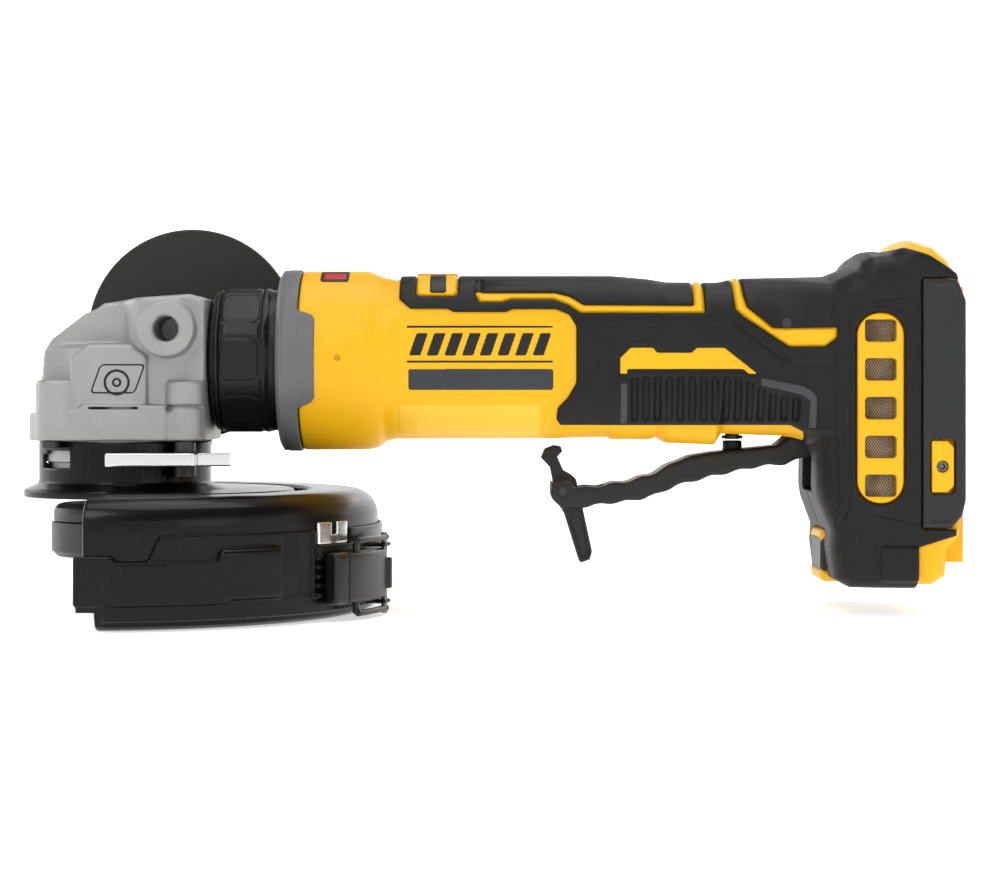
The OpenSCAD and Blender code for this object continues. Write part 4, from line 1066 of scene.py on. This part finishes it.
@dataclass
class GearHead:
    """The cast gear case, the nose and the grey ring behind it."""

    shop: Workshop
    step: float = 0.45
    outline: Points = (
        (-29.9, 27), (-29.9, 47.4), (-26.2, 49.2), (-25.2, 57), (-22.4, 61.1),
        (-11.3, 69.5), (-6.8, 71.6), (-4.8, 73.1), (6.2, 74.7), (24.8, 76), (28, 75),
        (30.2, 74.4), (30.2, 27))
    # Screw posts: x, y, half length, top and half width.
    posts: tuple[tuple[float, ...], ...] = (
        (-18.6, 22.6, 7.5, 47.2, 5.6), (23.5, 23, 6.5, 46.9, 6.4), (23.5, 22.4, 5.9, 38.6, 6))
    boss_r: float = 9.3

    def build(self) -> None:
        """Builds the gear head's outer pieces."""
        self.build_case()
        self.build_nose()
        self.build_ring()

    def build_case(self) -> None:
        """Builds the cast case."""
        s = Space((-30.4, -32.4, 26.8), (30.8, 32.4, 77), self.step)
        outline = s.side(self.outline)
        y = np.abs(s.y)
        tower = s.reach("z", SPINDLE) - 25.2
        slope = keep(y - 17, s.slab("x", -26, 10), 3)
        crown = keep(meet(keep(s.reach("z", (20, 0)) - 25.2, y - 23), s.block(
            (6, -23, 30), (34, 23, 90), 4), 4), -4.8 - s.x, 2)
        upper = keep(meet(keep(tower, s.z - 58.6, 1.5), meet(slope, crown, 1.5), 2), outline, 2.2)
        neck = s.bar("x", NOSE, 21.4, 6, 30.2, 1)
        body = meet(upper, neck, 3)
        ledge = s.side(((-14.2, 54.8), (-8.4, 59), (6, 59), (11, 54.8), (11, 30), (-14.2, 30)))
        body = meet(body, keep(ledge, y - 26.6, 1.6), 1.2)
        step = s.side(((-17, 35.3), (-9.6, 39.3), (17.5, 39), (17.5, 20), (-17, 20)))
        body = meet(body, keep(step, y - 28, 1.2), 1)
        base = keep(rounded_box(s.x - 0.2, s.y, 29.8, 27, 12), s.slab("z", 20, 36.5), 1)
        body = meet(body, base, 1.5)
        body = cut(body, s.block((-8, -40, 37.6), (8.4, 40, 38.3), 0.2), 0.3)
        for px, py, half, top, size in self.posts:
            post = rounded_box(s.x - px, y - py, half, size, size - 0.1)
            post = keep(post, s.z - top, 1.6)
            if top < 40:
                post = keep(post, s.slab("z", 20, top), 0.3)
            else:
                post = keep(post, 38.9 - s.z if px > 0 else 20 - s.z, 0.8)
            body = meet(body, post, 0.8)
        boss = keep(s.reach("y", HANDLE_HOLE) - self.boss_r, y - 31.9, 1)
        body = meet(keep(body, outline, 1), keep(boss, outline - 3), 1.5)
        hole = keep(s.reach("y", HANDLE_HOLE) - 4.1, 12 - y)
        sink = s.reach("y", HANDLE_HOLE) - 4.9 + np.maximum(31.9 - y, 0) * 0.9
        body = cut(body, meet(hole, keep(sink, 24 - y)), 0.5)
        button = s.reach("z", LOCK_BUTTON) - 5.8
        body = cut(body, keep(button, outline - 30, 0.6))
        body = cut(body, s.bar("x", NOSE, 20.4, 29.4, 40), 0.3)
        body = cut(body, keep(keep(s.reach("z", SPINDLE) - 23.2, s.z - 50, 0.4), 26 - s.z))
        body = cut(body, keep(rounded_box(s.x, s.y, 27.5, 25.2, 9), s.z - 32.1))
        body = keep(body, 27.1 - s.z, 0.5)
        self.shop.add("gear_case_casting", s, body, Finish.CAST, 0.4, nodes=["gear_case"],
                      slot="cast_alloy")
        m = Space((-10, -26.8, 41), (13, -25.6, 54), 0.22)
        slant = (m.x - 1.5) - (m.z - 47.6) * 0.36
        ring = np.sqrt((m.x - 1.2) ** 2 + (m.z - 46.4) ** 2)
        mark = np.minimum(np.abs(rounded_box(slant, m.z - 47.6, 7.2, 4.6, 1.2)) - 0.3,
                          np.minimum(np.abs(ring - 3.9) - 0.45, np.abs(ring - 1.2) - 0.4))
        mark = keep(mark, m.slab("y", -26.76, -25.7))
        self.shop.add("case_mark", m, mark, Finish.INK, 1)
        cap = keep(s.reach("z", LOCK_BUTTON) - 5.4, outline + 0.5, 0.8)
        cap = keep(cap, s.slab("z", 58, 76))
        self.shop.add("lock_button_cap", s, cap, Finish.SWITCH, body="lock_slide",
                      nodes=["lock_button"])
        t = Space((-30.4, -29, 11.5), (30.8, 29, 32.4), self.step)
        plate = keep(rounded_box(t.x, t.y, 27.2, 24.9, 8.8), t.slab("z", 27, 31.9), 0.6)
        spigot = t.bar("z", SPINDLE, 27.2, 12, 30, 0.8)
        groove = keep(np.abs(t.reach("z", SPINDLE) - 27.2) - 1.4, t.slab("z", 17, 20))
        cover = cut(meet(plate, spigot, 0.6), groove)
        cover = cut(cover, t.bar("z", SPINDLE, 21.7, 0, 21), 0.6)
        cover = cut(cover, t.bar("z", SPINDLE, 9.7, 0, 60), 0.6)
        for place in (*COVER_POSTS, LEVER_PIN):
            cover = cut(cover, t.bar("z", place, 2.1, 20, 40))
        self.shop.add("case_cover_casting", t, cover, Finish.CAST, 0.4, nodes=["case_cover"],
                      slot="cast_alloy")

    def build_nose(self) -> None:
        """Builds the black nose with its flats."""
        s = Space((30.2, -25.2, 28.8), (53.6, 25.2, 79.2), self.step)
        tube = s.turned("x", NOSE, (
            (30.4, 12), (30.4, 21), (31.8, 23.6), (36, 25.1), (49.4, 25.1), (50.6, 23.8),
            (53.2, 23.8), (53.2, 20), (42, 20), (42, 12)))
        reach = np.sqrt(s.y**2 + (s.z - MOTOR_Z) ** 2)
        angle = np.arctan2(s.y, s.z - MOTOR_Z)
        eighth = np.abs((angle + math.pi / 8) % (math.pi / 4) - math.pi / 8)
        across, along = reach * np.sin(eighth), s.x - 41
        flats = reach * np.cos(eighth) - 24.2
        tube = keep(tube, flats, 0.6)
        pad = rounded_box(along, across, 6.6, 7.2, 3.4)
        tube = cut(tube, keep(np.abs(pad) - 0.35, 23.7 - reach * np.cos(eighth)), 0.3)
        tube = cut(tube, keep(s.slab("x", 47.6, 48.2), 24.3 - reach), 0.3)
        for place in (32.2, 33.8):
            tube = cut(tube, keep(s.slab("x", place, place + 0.5), 22.6 - reach), 0.2)
        self.shop.add("nose_adapter_shell", s, tube, Finish.NOSE, 0.45, nodes=["nose_adapter"],
                      slot="nose_plastic")

    def build_ring(self) -> None:
        """Builds the grey ring with its side tabs."""
        s = Space((50, -31, 22.8), (67.2, 31, 85.2), self.step)
        ring = s.turned("x", NOSE, (
            (53.3, 21), (53.3, 28.6), (54.6, 30.7), (60.5, 30.7), (60.5, 27.7), (55, 27.7),
            (54.5, 21)))
        tab = s.side(((58, 70.4), (61.4, 70.2), (65.4, 68.9), (66.6, 67), (66.6, 41.4),
                      (65.2, 39.6), (61.6, 37.9), (58, 37.4)))
        reach = np.sqrt(s.y**2 + (s.z - MOTOR_Z) ** 2)
        skin = keep(keep(reach - 30.72, 30.2 - reach), tab, 0.4)
        ring = meet(ring, skin, 0.3)
        groove = keep(np.abs(s.x - 55.6) - 0.2, 30.2 - reach)
        ring = cut(ring, groove, 0.3)
        self.shop.add("front_ring_band", s, ring, Finish.RING, 0.5, nodes=["front_ring"],
                      slot="ring_plastic")


@dataclass
class SideHandle:
    """The far side handle: stud, flange disc, grip and cap."""

    shop: Workshop
    step: float = 0.5
    x: float = 17.9
    z: float = 64.0
    start: float = 36.7
    length: float = 112.0
    grip_r: float = 15.0

    def build(self) -> None:
        """Builds the side handle."""
        centre, y0 = (self.x, self.z), self.start
        s = Space((self.x - 37.6, y0 - 0.4, self.z - 37.6),
                  (self.x + 37.6, y0 + 4.8, self.z + 37.6), self.step)
        disc = s.turned("y", centre, (
            (y0 + 0.3, 7.1), (y0 + 0.3, 35.6), (y0 + 0.1, 36.1), (y0 + 0.5, 36.9),
            (y0 + 1.4, 37.2), (y0 + 3, 37.2), (y0 + 4.3, 35.6), (y0 + 4.3, 7.1)))
        self.shop.add("handle_flange", s, disc, Finish.HANDLE, 0.35, nodes=["handle_disc"],
                      slot="handle_plastic")
        end = y0 + self.length
        g = Space((self.x - 17.2, y0 + 4, self.z - 17.2),
                  (self.x + 17.2, end - 7.5, self.z + 17.2), self.step)
        along = (g.y - y0 - 14) / (self.length - 30)
        swell = self.grip_r - 2 * np.cos(np.clip(along, 0, 1) * 2 * math.pi)
        reach = g.reach("y", centre)
        angle = np.arctan2(g.z - self.z, g.x - self.x)
        rings = np.clip(np.sin((g.y - y0) * 2 * math.pi / 6) * 2, -1, 1) * 0.45
        body = reach - swell - np.where((along > 0.04) & (along < 0.96), rings, 0)
        body = body + np.clip(np.cos(angle * 6) - 0.7, 0, 1) * 1.2
        collar = g.bar("y", centre, 16.8, y0 + 4.4, y0 + 8, 1)
        grip = meet(keep(body, g.slab("y", y0 + 6, end - 8), 1), collar, 1.5)
        grip = cut(grip, g.bar("y", centre, 5.1, 0, 200))
        self.shop.add("handle_grip_rubber", g, grip, Finish.HANDLE_RUBBER, 0.35,
                      nodes=["handle_grip"], slot="handle_rubber")
        c = Space((self.x - 16.4, end - 8, self.z - 16.4), (self.x + 16.4, end, self.z + 16.4),
                  self.step)
        cap = c.turned("y", centre, (
            (end - 7.7, 0), (end - 7.7, 15.8), (end - 3.4, 15.8), (end - 1, 13.6),
            (end - 0.2, 10.5), (end - 0.2, 9), (end - 1.2, 8), (end - 1.2, 0)))
        self.shop.add("handle_cap_end", c, cap, Finish.HANDLE, 0.4, nodes=["handle_cap"],
                      slot="handle_plastic")


@dataclass
class Guard:
    """The wheel guard, its clip-on cover, the catch and the collar lever."""

    shop: Workshop
    step: float = 0.6
    radius: float = 85.7
    roof: float = 10.6
    sheet: float = 1.6
    bend: float = 9.0
    slots: tuple[float, ...] = (104, 164, 224)
    skirt: float = -23.4
    low: float = -30.0
    bore_r: float = 27.6
    start: float = -90.0
    end: float = 94.0
    catch_from: float = -36.2
    catch_to: float = -15.6
    catch_r: float = 92.2
    hinge_turn: float = -15.0
    pin_r: float = 1.05
    lever_span: tuple[float, float] = (18.85, 23.25)
    wire_r: float = 1.05
    catch_low: float = -24.6
    catch_high: float = -8.0

    def sector(self, angle: Field, reach: Field, start: float, end: float) -> Field:
        """Measures, along the arc, how far each place is from a sector.

        Args:
            angle: Angle of each place in degrees.
            reach: Its distance from the spindle.
            start: Angle where the sector starts.
            end: Angle where it ends.

        Returns:
            The distance, negative inside.
        """
        middle, half = (start + end) / 2, (end - start) / 2
        away = np.abs((angle - middle + 180) % 360 - 180) - half
        return np.radians(np.clip(away, -40, 40)) * reach

    def build(self) -> None:
        """Builds the guard's pieces."""
        self.build_shell()
        self.build_cover()
        self.build_catch()
        self.build_lever()

    def build_shell(self) -> None:
        """Builds the gloss black shell with its collar."""
        r, bend = self.radius, self.bend
        s = Space((-39, -r, self.skirt), (r, r, 26.8), self.step)
        reach, angle = s.around()
        wall = s.turned("z", SPINDLE, (
            (self.roof, 25), *((self.roof - bend + bend * math.cos(a),
                                r - bend + bend * math.sin(a))
                               for a in np.linspace(0, math.pi / 2, 8)),
            (self.skirt, r), (self.skirt, r - self.sheet),
            (self.roof - 8.6, r - self.sheet), (self.roof - 4, r - 4.4),
            (self.roof - self.sheet, r - 8.6), (self.roof - self.sheet, 25)))
        rib = keep(np.abs(reach - 60) - 3, s.slab("z", self.roof - 1, self.roof - 0.2), 0.4)
        sector = self.sector(angle, reach, self.start, self.end)
        wall = keep(cut(wall, rib, 0.8), sector, 0.8)
        collar = s.turned("z", SPINDLE, (
            (8, 27.6), (26.8, 27.6), (26.8, 28.9), (13, 28.9), (12, 30.5), (10.6, 33.9),
            (8, 33.9)))
        groove = s.turned("z", SPINDLE, ((17.3, 26.2), (17.3, 28.5), (19.7, 28.5), (19.7, 26.2)))
        body = meet(meet(wall, collar, 1.2), groove)
        for centre in self.slots:
            turned = self.sector(angle, reach, centre - 15, centre + 15)
            deep = self.sector(angle, reach, centre - 8, centre + 15)
            body = cut(body, keep(turned, s.slab("z", 18.1, 22.4), 0.4), 0.3)
            body = cut(body, keep(deep, s.slab("z", 18.1, 23.8), 0.4), 0.3)
        body = keep(body, self.bore_r - reach + 0.01 - 1.6 * (np.abs(s.z - 18.5) < 1.2), 0.2)
        self.shop.add("guard_sheet", s, body, Finish.GUARD, 0.3, body="guard",
                      nodes=["guard_shell"], slot="guard_paint")

    def build_cover(self) -> None:
        """Builds the clip-on cover with its band, block and lugs."""
        r, low = self.radius, self.low
        s = Space((-9, -94, low), (94.5, 88.5, 0.6), self.step)
        reach, angle = s.around()
        shell = s.turned("z", SPINDLE, (
            (low, 32.2), (low, r - 4.4), (low + 1.2, r - 1.6), (low + 4, r + 0.3),
            (self.skirt - 0.4, r + 0.7), (self.skirt - 0.3, r - 1.6), (low + 4.4, r - 1.8),
            (low + 1.9, r - 4.8), (low + 1.8, 32.2)))
        band = s.turned("z", SPINDLE, (
            (self.skirt - 1, r + 0.3), (self.skirt - 1, r + 0.8), (self.skirt + 1.8, 87.3),
            (-1, 87.3), (-0.2, 86.9), (-0.2, r + 0.4)))
        high = -8.8 + 8.2 * step_up(self.sector(angle, reach, -75.6, 160), 5.5)
        band = keep(band, s.z - high, 0.5)
        strap_seat = keep(self.sector(angle, reach, -37.6, -25.6), -6 - s.z, 0.5)
        band = cut(band, strap_seat, 0.3)
        shell = keep(shell, self.sector(angle, reach, -87.6, 94.6), 0.8)
        band = keep(band, self.sector(angle, reach, -91.4, 94.6), 0.8)
        cover = meet(shell, band, 0.4)
        edge = -8.8 + 1.9 * step_up(self.sector(angle, reach, -120, -83.4), 3)
        outer = keep(keep(reach - 88.6, s.z - edge, 0.6), -22.2 - s.z, 0.6)
        outer = keep(outer, self.sector(angle, reach, -91.6, -60), 0.8)
        outer = keep(outer, -87.7 - s.y, 0.3)
        cover = meet(cover, keep(outer, r + 0.3 - reach), 0.3)
        lip = keep(keep(reach - 87.5, s.slab("z", -27, -22.4 + 1.6 * step_up(
            self.sector(angle, reach, -77, 160), 4)), 0.5), r - 0.6 - reach)
        cover = meet(cover, keep(lip, self.sector(angle, reach, -86, 94.6), 0.6), 0.3)
        block = keep(keep(reach - 90.3, s.slab("z", self.skirt + 2.4, self.skirt + 18.2), 2.2),
                     self.sector(angle, reach, -62.6, -48), 2)
        block = keep(block, 86.6 - reach)
        cover = meet(cover, block, 1.0)
        for lug_low in (self.catch_low - 1.8, self.catch_high + 0.3):
            lug = keep(keep(reach - 93.7, s.slab("z", lug_low, lug_low + 1.5), 0.4),
                       self.sector(angle, reach, -17, -13), 0.5)
            cover = meet(cover, keep(lug, 86.2 - reach), 0.3)
        for i in range(5):
            place = self.skirt + 1.5 + i * 2.9
            tooth = keep(keep(reach - 89.2, s.slab("z", place, place + 1.5), 0.3),
                         self.sector(angle, reach, -38.6, -36.6), 0.3)
            cover = meet(cover, keep(tooth, 87 - reach), 0.3)
        shelf = keep(keep(reach - 88, s.slab("z", self.skirt + 13, -5.6), 0.4),
                     self.sector(angle, reach, -37, -12), 0.5)
        cover = meet(cover, keep(shelf, r + 0.3 - reach), 0.3)
        pin = s.bar("z", on_circle(self.catch_r, self.hinge_turn), self.pin_r, low - 2, 0)
        cover = cut(cover, pin)
        cover = cut(cover, keep(reach - r - 0.25, self.skirt - 0.3 - s.z))
        self.shop.add("guard_clip_cover", s, cover, Finish.GUARD, 0.3, body="guard",
                      nodes=["guard_cover"], slot="guard_paint")

    def build_catch(self) -> None:
        """Builds the catch lever, its wire and the bright bracket."""
        s = Space((68, -56, -30), (95.8, -19, 2.2), 0.35)
        reach, angle = s.around()
        plate = keep(keep(reach - 93.6, 88.2 - reach, 0.4),
                     s.slab("z", self.catch_low, self.catch_high), 2)
        plate = keep(plate, self.sector(angle, reach, self.catch_from, self.catch_to), 1.2)
        split = keep(np.abs(self.sector(angle, reach, -32.2, 0)) - 0.3, 92.8 - reach)
        plate = cut(plate, split, 0.4)
        hinge = on_circle(self.catch_r, self.hinge_turn)
        plate = meet(plate, s.bar("z", hinge, 2.7, self.catch_low + 3.2, self.catch_high - 3.2,
                                  0.4), 0.3)
        plate = cut(plate, s.bar("z", hinge, self.pin_r, -40, 0))
        self.shop.add("catch_flap", s, plate, Finish.CATCH, 0.5, body="catch",
                      nodes=["catch_lever"], slot="catch_black")
        wire_heights = (self.catch_low - 3.4, self.catch_high + 3.4)
        lower, upper = (
            keep(np.sqrt((reach - 92.5) ** 2 + (s.z - height) ** 2) - self.wire_r,
                 self.sector(angle, reach, -28.4, -13.9), 0.3) for height in wire_heights)
        wires = meet(lower, upper)
        post = s.bar("z", on_circle(91.6, -28), 1.1, *wire_heights)
        wires = cut(meet(wires, post, 0.8), s.bar("z", hinge, self.pin_r, -40, 0))
        self.shop.add("catch_wire", s, wires, Finish.CATCH, 0.5, body="catch",
                      nodes=["catch_bail"], slot="catch_black")
        strap = keep(keep(reach - 87.0, 85.7 - reach, 0.2), s.slab("z", -5.6, 1.6), 0.3)
        strap = keep(strap, self.sector(angle, reach, -37, -26.2), 0.8)
        notch = keep(self.sector(angle, reach, -32.4, -30.4), s.slab("z", -2.4, 3), 0.3)
        strap = cut(strap, notch, 0.3)
        self.shop.add("catch_strap", s, strap, Finish.BRIGHT, 0.5, body="guard",
                      nodes=["catch_bracket"], slot="bright_steel")

    def build_lever(self) -> None:
        """Builds the bright quick-turn lever on the collar."""
        s = Space((-2, -36.4, 18.4), (39.4, -20, 23.7), 0.35)
        plan = s.plan(((-1.2, -36.1), (-1.2, -32.2), (4, -31), (8, -30.6), (19.5, -24),
                       (32.5, -26), (39, -27), (39, -29.4), (28.6, -31.6), (27.8, -35.4)))
        arm = keep(plan, s.slab("z", *self.lever_span), 0.35)
        arm = meet(arm, s.bar("z", LEVER_PIN, 4.3, *self.lever_span, 0.6), 0.6)
        arm = cut(arm, s.reach("z", SPINDLE) - 29.45, 0.5)
        arm = cut(arm, s.bar("z", LEVER_PIN, 2.05, 0, 40), 0.2)
        self.shop.add("guard_turn_lever", s, arm, Finish.BRIGHT, 0.5, body="guard_latch",
                      nodes=["guard_lever"], slot="bright_steel")


@dataclass
class Paddle:
    """The squeeze paddle and its lock-off lever."""

    shop: Workshop
    step: float = 0.35
    half: float = 10.5
    hinge: tuple[float, float] = (235.1, 26.6)
    tip: tuple[float, float] = (148.4, 9.8)
    upper: Points = (
        (-3.8, 2.8), (5, 1.2), (14, 2.2), (23, 3.8), (29, 5.5), (37, 9.5), (43, 12),
        (51, 13.3), (60, 14.3), (72, 15.5), (76, 18.7), (86.7, 19.8))
    lower: Points = (
        (86.7, 13.7), (80, 11), (75, 9.2), (66, 8.4), (60, 7.2), (49, 4.8), (38, 1.9),
        (32, -0.9), (27, -2.4), (22, -3.3), (14, -4.2), (8, -5.1), (0, -5.9), (-3.6, -1.8))

    def swung(self, turn: float) -> Points:
        """Turns the paddle's outline about its hinge.

        Args:
            turn: The squeeze in degrees.

        Returns:
            The outline in X and Z.
        """
        cos, sin = math.cos(math.radians(turn)), math.sin(math.radians(turn))
        reach = self.hinge[0] - self.tip[0]
        drop = self.hinge[1] - self.tip[1]
        return tuple((self.hinge[0] + (u - reach) * cos + (v - drop) * sin,
                      self.hinge[1] - (u - reach) * sin + (v - drop) * cos)
                     for u, v in (*self.upper, *self.lower))

    def build(self) -> None:
        """Builds the paddle and the lever."""
        tx, tz = self.tip
        s = Space((143.4, -10.6, 3), (239.8, 10.6, 31.4), self.step)
        side = s.side(self.swung(0))
        y = np.abs(s.y)
        waves = np.clip(np.sin((s.x - tx) * 2 * math.pi / 9.5), -1, 1) * 0.35
        side = side + waves * step_up(s.z - tz - 6 - (s.x - tx) * 0.1, 3)
        arm = keep(side, y - self.half + 0.1, 1.8)
        arm = meet(arm, keep(s.reach("y", self.hinge) - 4.3, y - 10.4, 0.6), 1)
        arm = meet(arm, keep(s.reach("y", self.tip) - 3.9, y - 10.4, 0.6), 1)
        arm = meet(arm, s.bar("z", (206.2, 0), 3.3, 20, 26.9, 0.6), 0.5)
        inner = keep(side + 2.2, y - 8.4, 1)
        hollow = keep(inner, s.slab("x", tx + 12, tx + 52), 1)
        arm = cut(arm, keep(hollow, tz + 1.5 + (s.x - tx) * 0.12 - s.z - 2), 0.6)
        arm = cut(arm, s.block((tx - 9, -5.4, tz - 14), (tx + 9.4, 5.4, tz + 14)), 0.4)
        arm = cut(arm, s.block((tx + 8.8, -5.4, tz - 14), (tx + 19.6, 5.4, tz + 1.9)), 0.4)
        arm = cut(arm, s.bar("y", self.hinge, 1.55, -20, 20))
        arm = cut(arm, s.bar("y", self.tip, 1.55, -20, 20))
        self.shop.add("paddle_arm_moulding", s, arm, Finish.LEVER, 0.45, body="paddle_arm",
                      nodes=["paddle"], slot="lever_plastic")
        lever = [(tx + u, tz + v) for u, v in (
            (-7.3, 11.3), (-6, 14.3), (-3, 15.5), (-0.5, 15.1), (0, 13.4), (-1.7, 11.6),
            (0.3, 7.1), (3.1, 5.5), (4.6, 4.2), (5.8, -0.7), (7.8, -9.8), (10.1, -20.4),
            (9.3, -23.2), (6.3, -24.3), (5.6, -23.6), (0.6, -7.6), (-3.2, -1.9), (-3.2, 3),
            (-4.2, 8))]
        t = Space((140, -5.3, -15.2), (159.5, 5.3, 26), 0.3)
        y = np.abs(t.y)
        body = keep(t.side(lever), y - 4.95, 1)
        body = meet(body, keep(t.reach("y", self.tip) - 3.5, y - 4.9, 0.5), 0.8)
        dish = keep(t.side(lever) + 1.3, 4.3 - y, 0.5)
        dish = keep(dish, t.z - tz + 9, 0.5)
        body = cut(body, dish, 0.4)
        body = cut(body, t.bar("y", self.tip, 1.55, -20, 20))
        self.shop.add("lock_off_moulding", t, body, Finish.LEVER, 0.5, body="lock_off",
                      nodes=["lock_lever"], slot="lever_plastic")


@dataclass
class Studio:
    """Pale floor, soft lights and the camera."""

    eye: tuple[float, float, float] = (0.1273, -0.816, 0.0416)
    aim: tuple[float, float, float] = (0.12, 0, 0.03)
    lens: float = 86.4
    sensor: float = 36.0
    shift: float = -0.038
    floor: float = -0.0302
    floor_r: float = 2.0
    rise_r: float = 1.0
    wall_top: float = 1.6
    segments: int = 64
    # The backdrop's own light: span of its ramp along Y, and places and levels on it.
    glow_span: float = 3.2
    glow: Points = ((0.05, 0.3), (0.4, 0.45), (0.9, 1))
    # Name, place, width and power in watts.
    lamps: tuple[tuple[Any, ...], ...] = (
        ("key", (-0.35, -1.0, 1.2), 0.7, 9), ("fill", (1.1, -1.1, 0.5), 0.7, 1.6),
        ("top", (0.2, 0.1, 1.4), 1.0, 9), ("rim", (-1.1, 0.5, 0.5), 0.6, 3),
        ("back", (0.8, 1.1, 0.9), 0.9, 5))

    def build(self) -> None:
        """Builds the stage, the lights and the camera."""
        self.build_floor()
        for lamp in self.lamps:
            self.add_light(*lamp)
        scene = bpy.context.scene
        scene.view_settings.view_transform = "Standard"
        world = bpy.data.worlds.new("studio")
        scene.world = world
        world.use_nodes = True
        back = world.node_tree.nodes["Background"]
        back.inputs["Color"].default_value = (1, 1, 1, 1)
        back.inputs["Strength"].default_value = 0.1
        camera = bpy.data.cameras.new("camera")
        camera.lens, camera.sensor_width, camera.shift_y = self.lens, self.sensor, self.shift
        holder = bpy.data.objects.new("camera", camera)
        holder.location = self.eye
        holder.rotation_euler = (math.pi / 2, 0, 0)
        scene.collection.objects.link(holder)
        scene.camera = holder

    def build_floor(self) -> None:
        """Builds a round floor that curves up to a wall all round the tool."""
        count = self.segments
        profile = [(r, 0.0) for r in np.linspace(0, self.floor_r, 9)]
        profile += [(self.floor_r + self.rise_r * math.sin(a), self.rise_r * (1 - math.cos(a)))
                    for a in np.linspace(0.1, math.pi / 2, 12)]
        profile.append((self.floor_r + self.rise_r, self.wall_top))
        turns = np.linspace(0, 2 * math.pi, count, endpoint=False)
        points = [(self.aim[0] + r * math.cos(a), r * math.sin(a), z + self.floor)
                  for r, z in profile for a in turns]
        faces = [(count * i + j, count * i + (j + 1) % count,
                  count * (i + 1) + (j + 1) % count, count * (i + 1) + j)
                 for i in range(len(profile) - 1) for j in range(count)]
        mesh = bpy.data.meshes.new("floor")
        mesh.from_pydata(points, [], faces)
        mesh.polygons.foreach_set("use_smooth", np.ones(len(faces), bool))
        floor = bpy.data.objects.new("floor", mesh)
        bpy.context.scene.collection.objects.link(floor)
        paper = Paint("backdrop")
        grain = paper.noise(3, 2)
        split = paper.node("ShaderNodeSeparateXYZ", Vector=paper.place)
        depth = paper.signal(split.outputs["Y"]) * (1 / self.glow_span) + 0.5
        glow = paper.ramp(depth, *((at, (level,) * 3) for at, level in self.glow))
        mesh.materials.append(paper.finish(
            Base_Color=paper.ramp(grain, (0.3, (0.9, 0.9, 0.9)), (0.7, (0.92, 0.92, 0.92))),
            Roughness=0.9, Specular_IOR_Level=0.0, Emission_Color=glow,
            Emission_Strength=1.0))

    def add_light(self, name: str, place: tuple[float, float, float], size: float,
                  power: float) -> None:
        """Adds a square lamp that faces the tool.

        Args:
            name: The lamp's name.
            place: Where it stands.
            size: Its width.
            power: Its power in watts.
        """
        data = bpy.data.lights.new(name, "AREA")
        data.size, data.energy = size, power
        lamp = bpy.data.objects.new(name, data)
        lamp.location = place
        towards = Vector(self.aim) - Vector(place)
        lamp.rotation_euler = towards.to_track_quat("-Z", "Y").to_euler()
        bpy.context.scene.collection.objects.link(lamp)


def main() -> None:
    """Builds the tool's looks, piece by piece."""
    logging.basicConfig(level=logging.INFO, format="%(message)s")
    Studio().build()
    shop = Workshop()
    for assembly in (Housing, Foot, GearHead, SideHandle, Guard, Paddle):
        assembly(shop).build()
        log.info("%s built", assembly.__name__)
    shop.dress_kept()


if __name__ == "__main__":
    main()
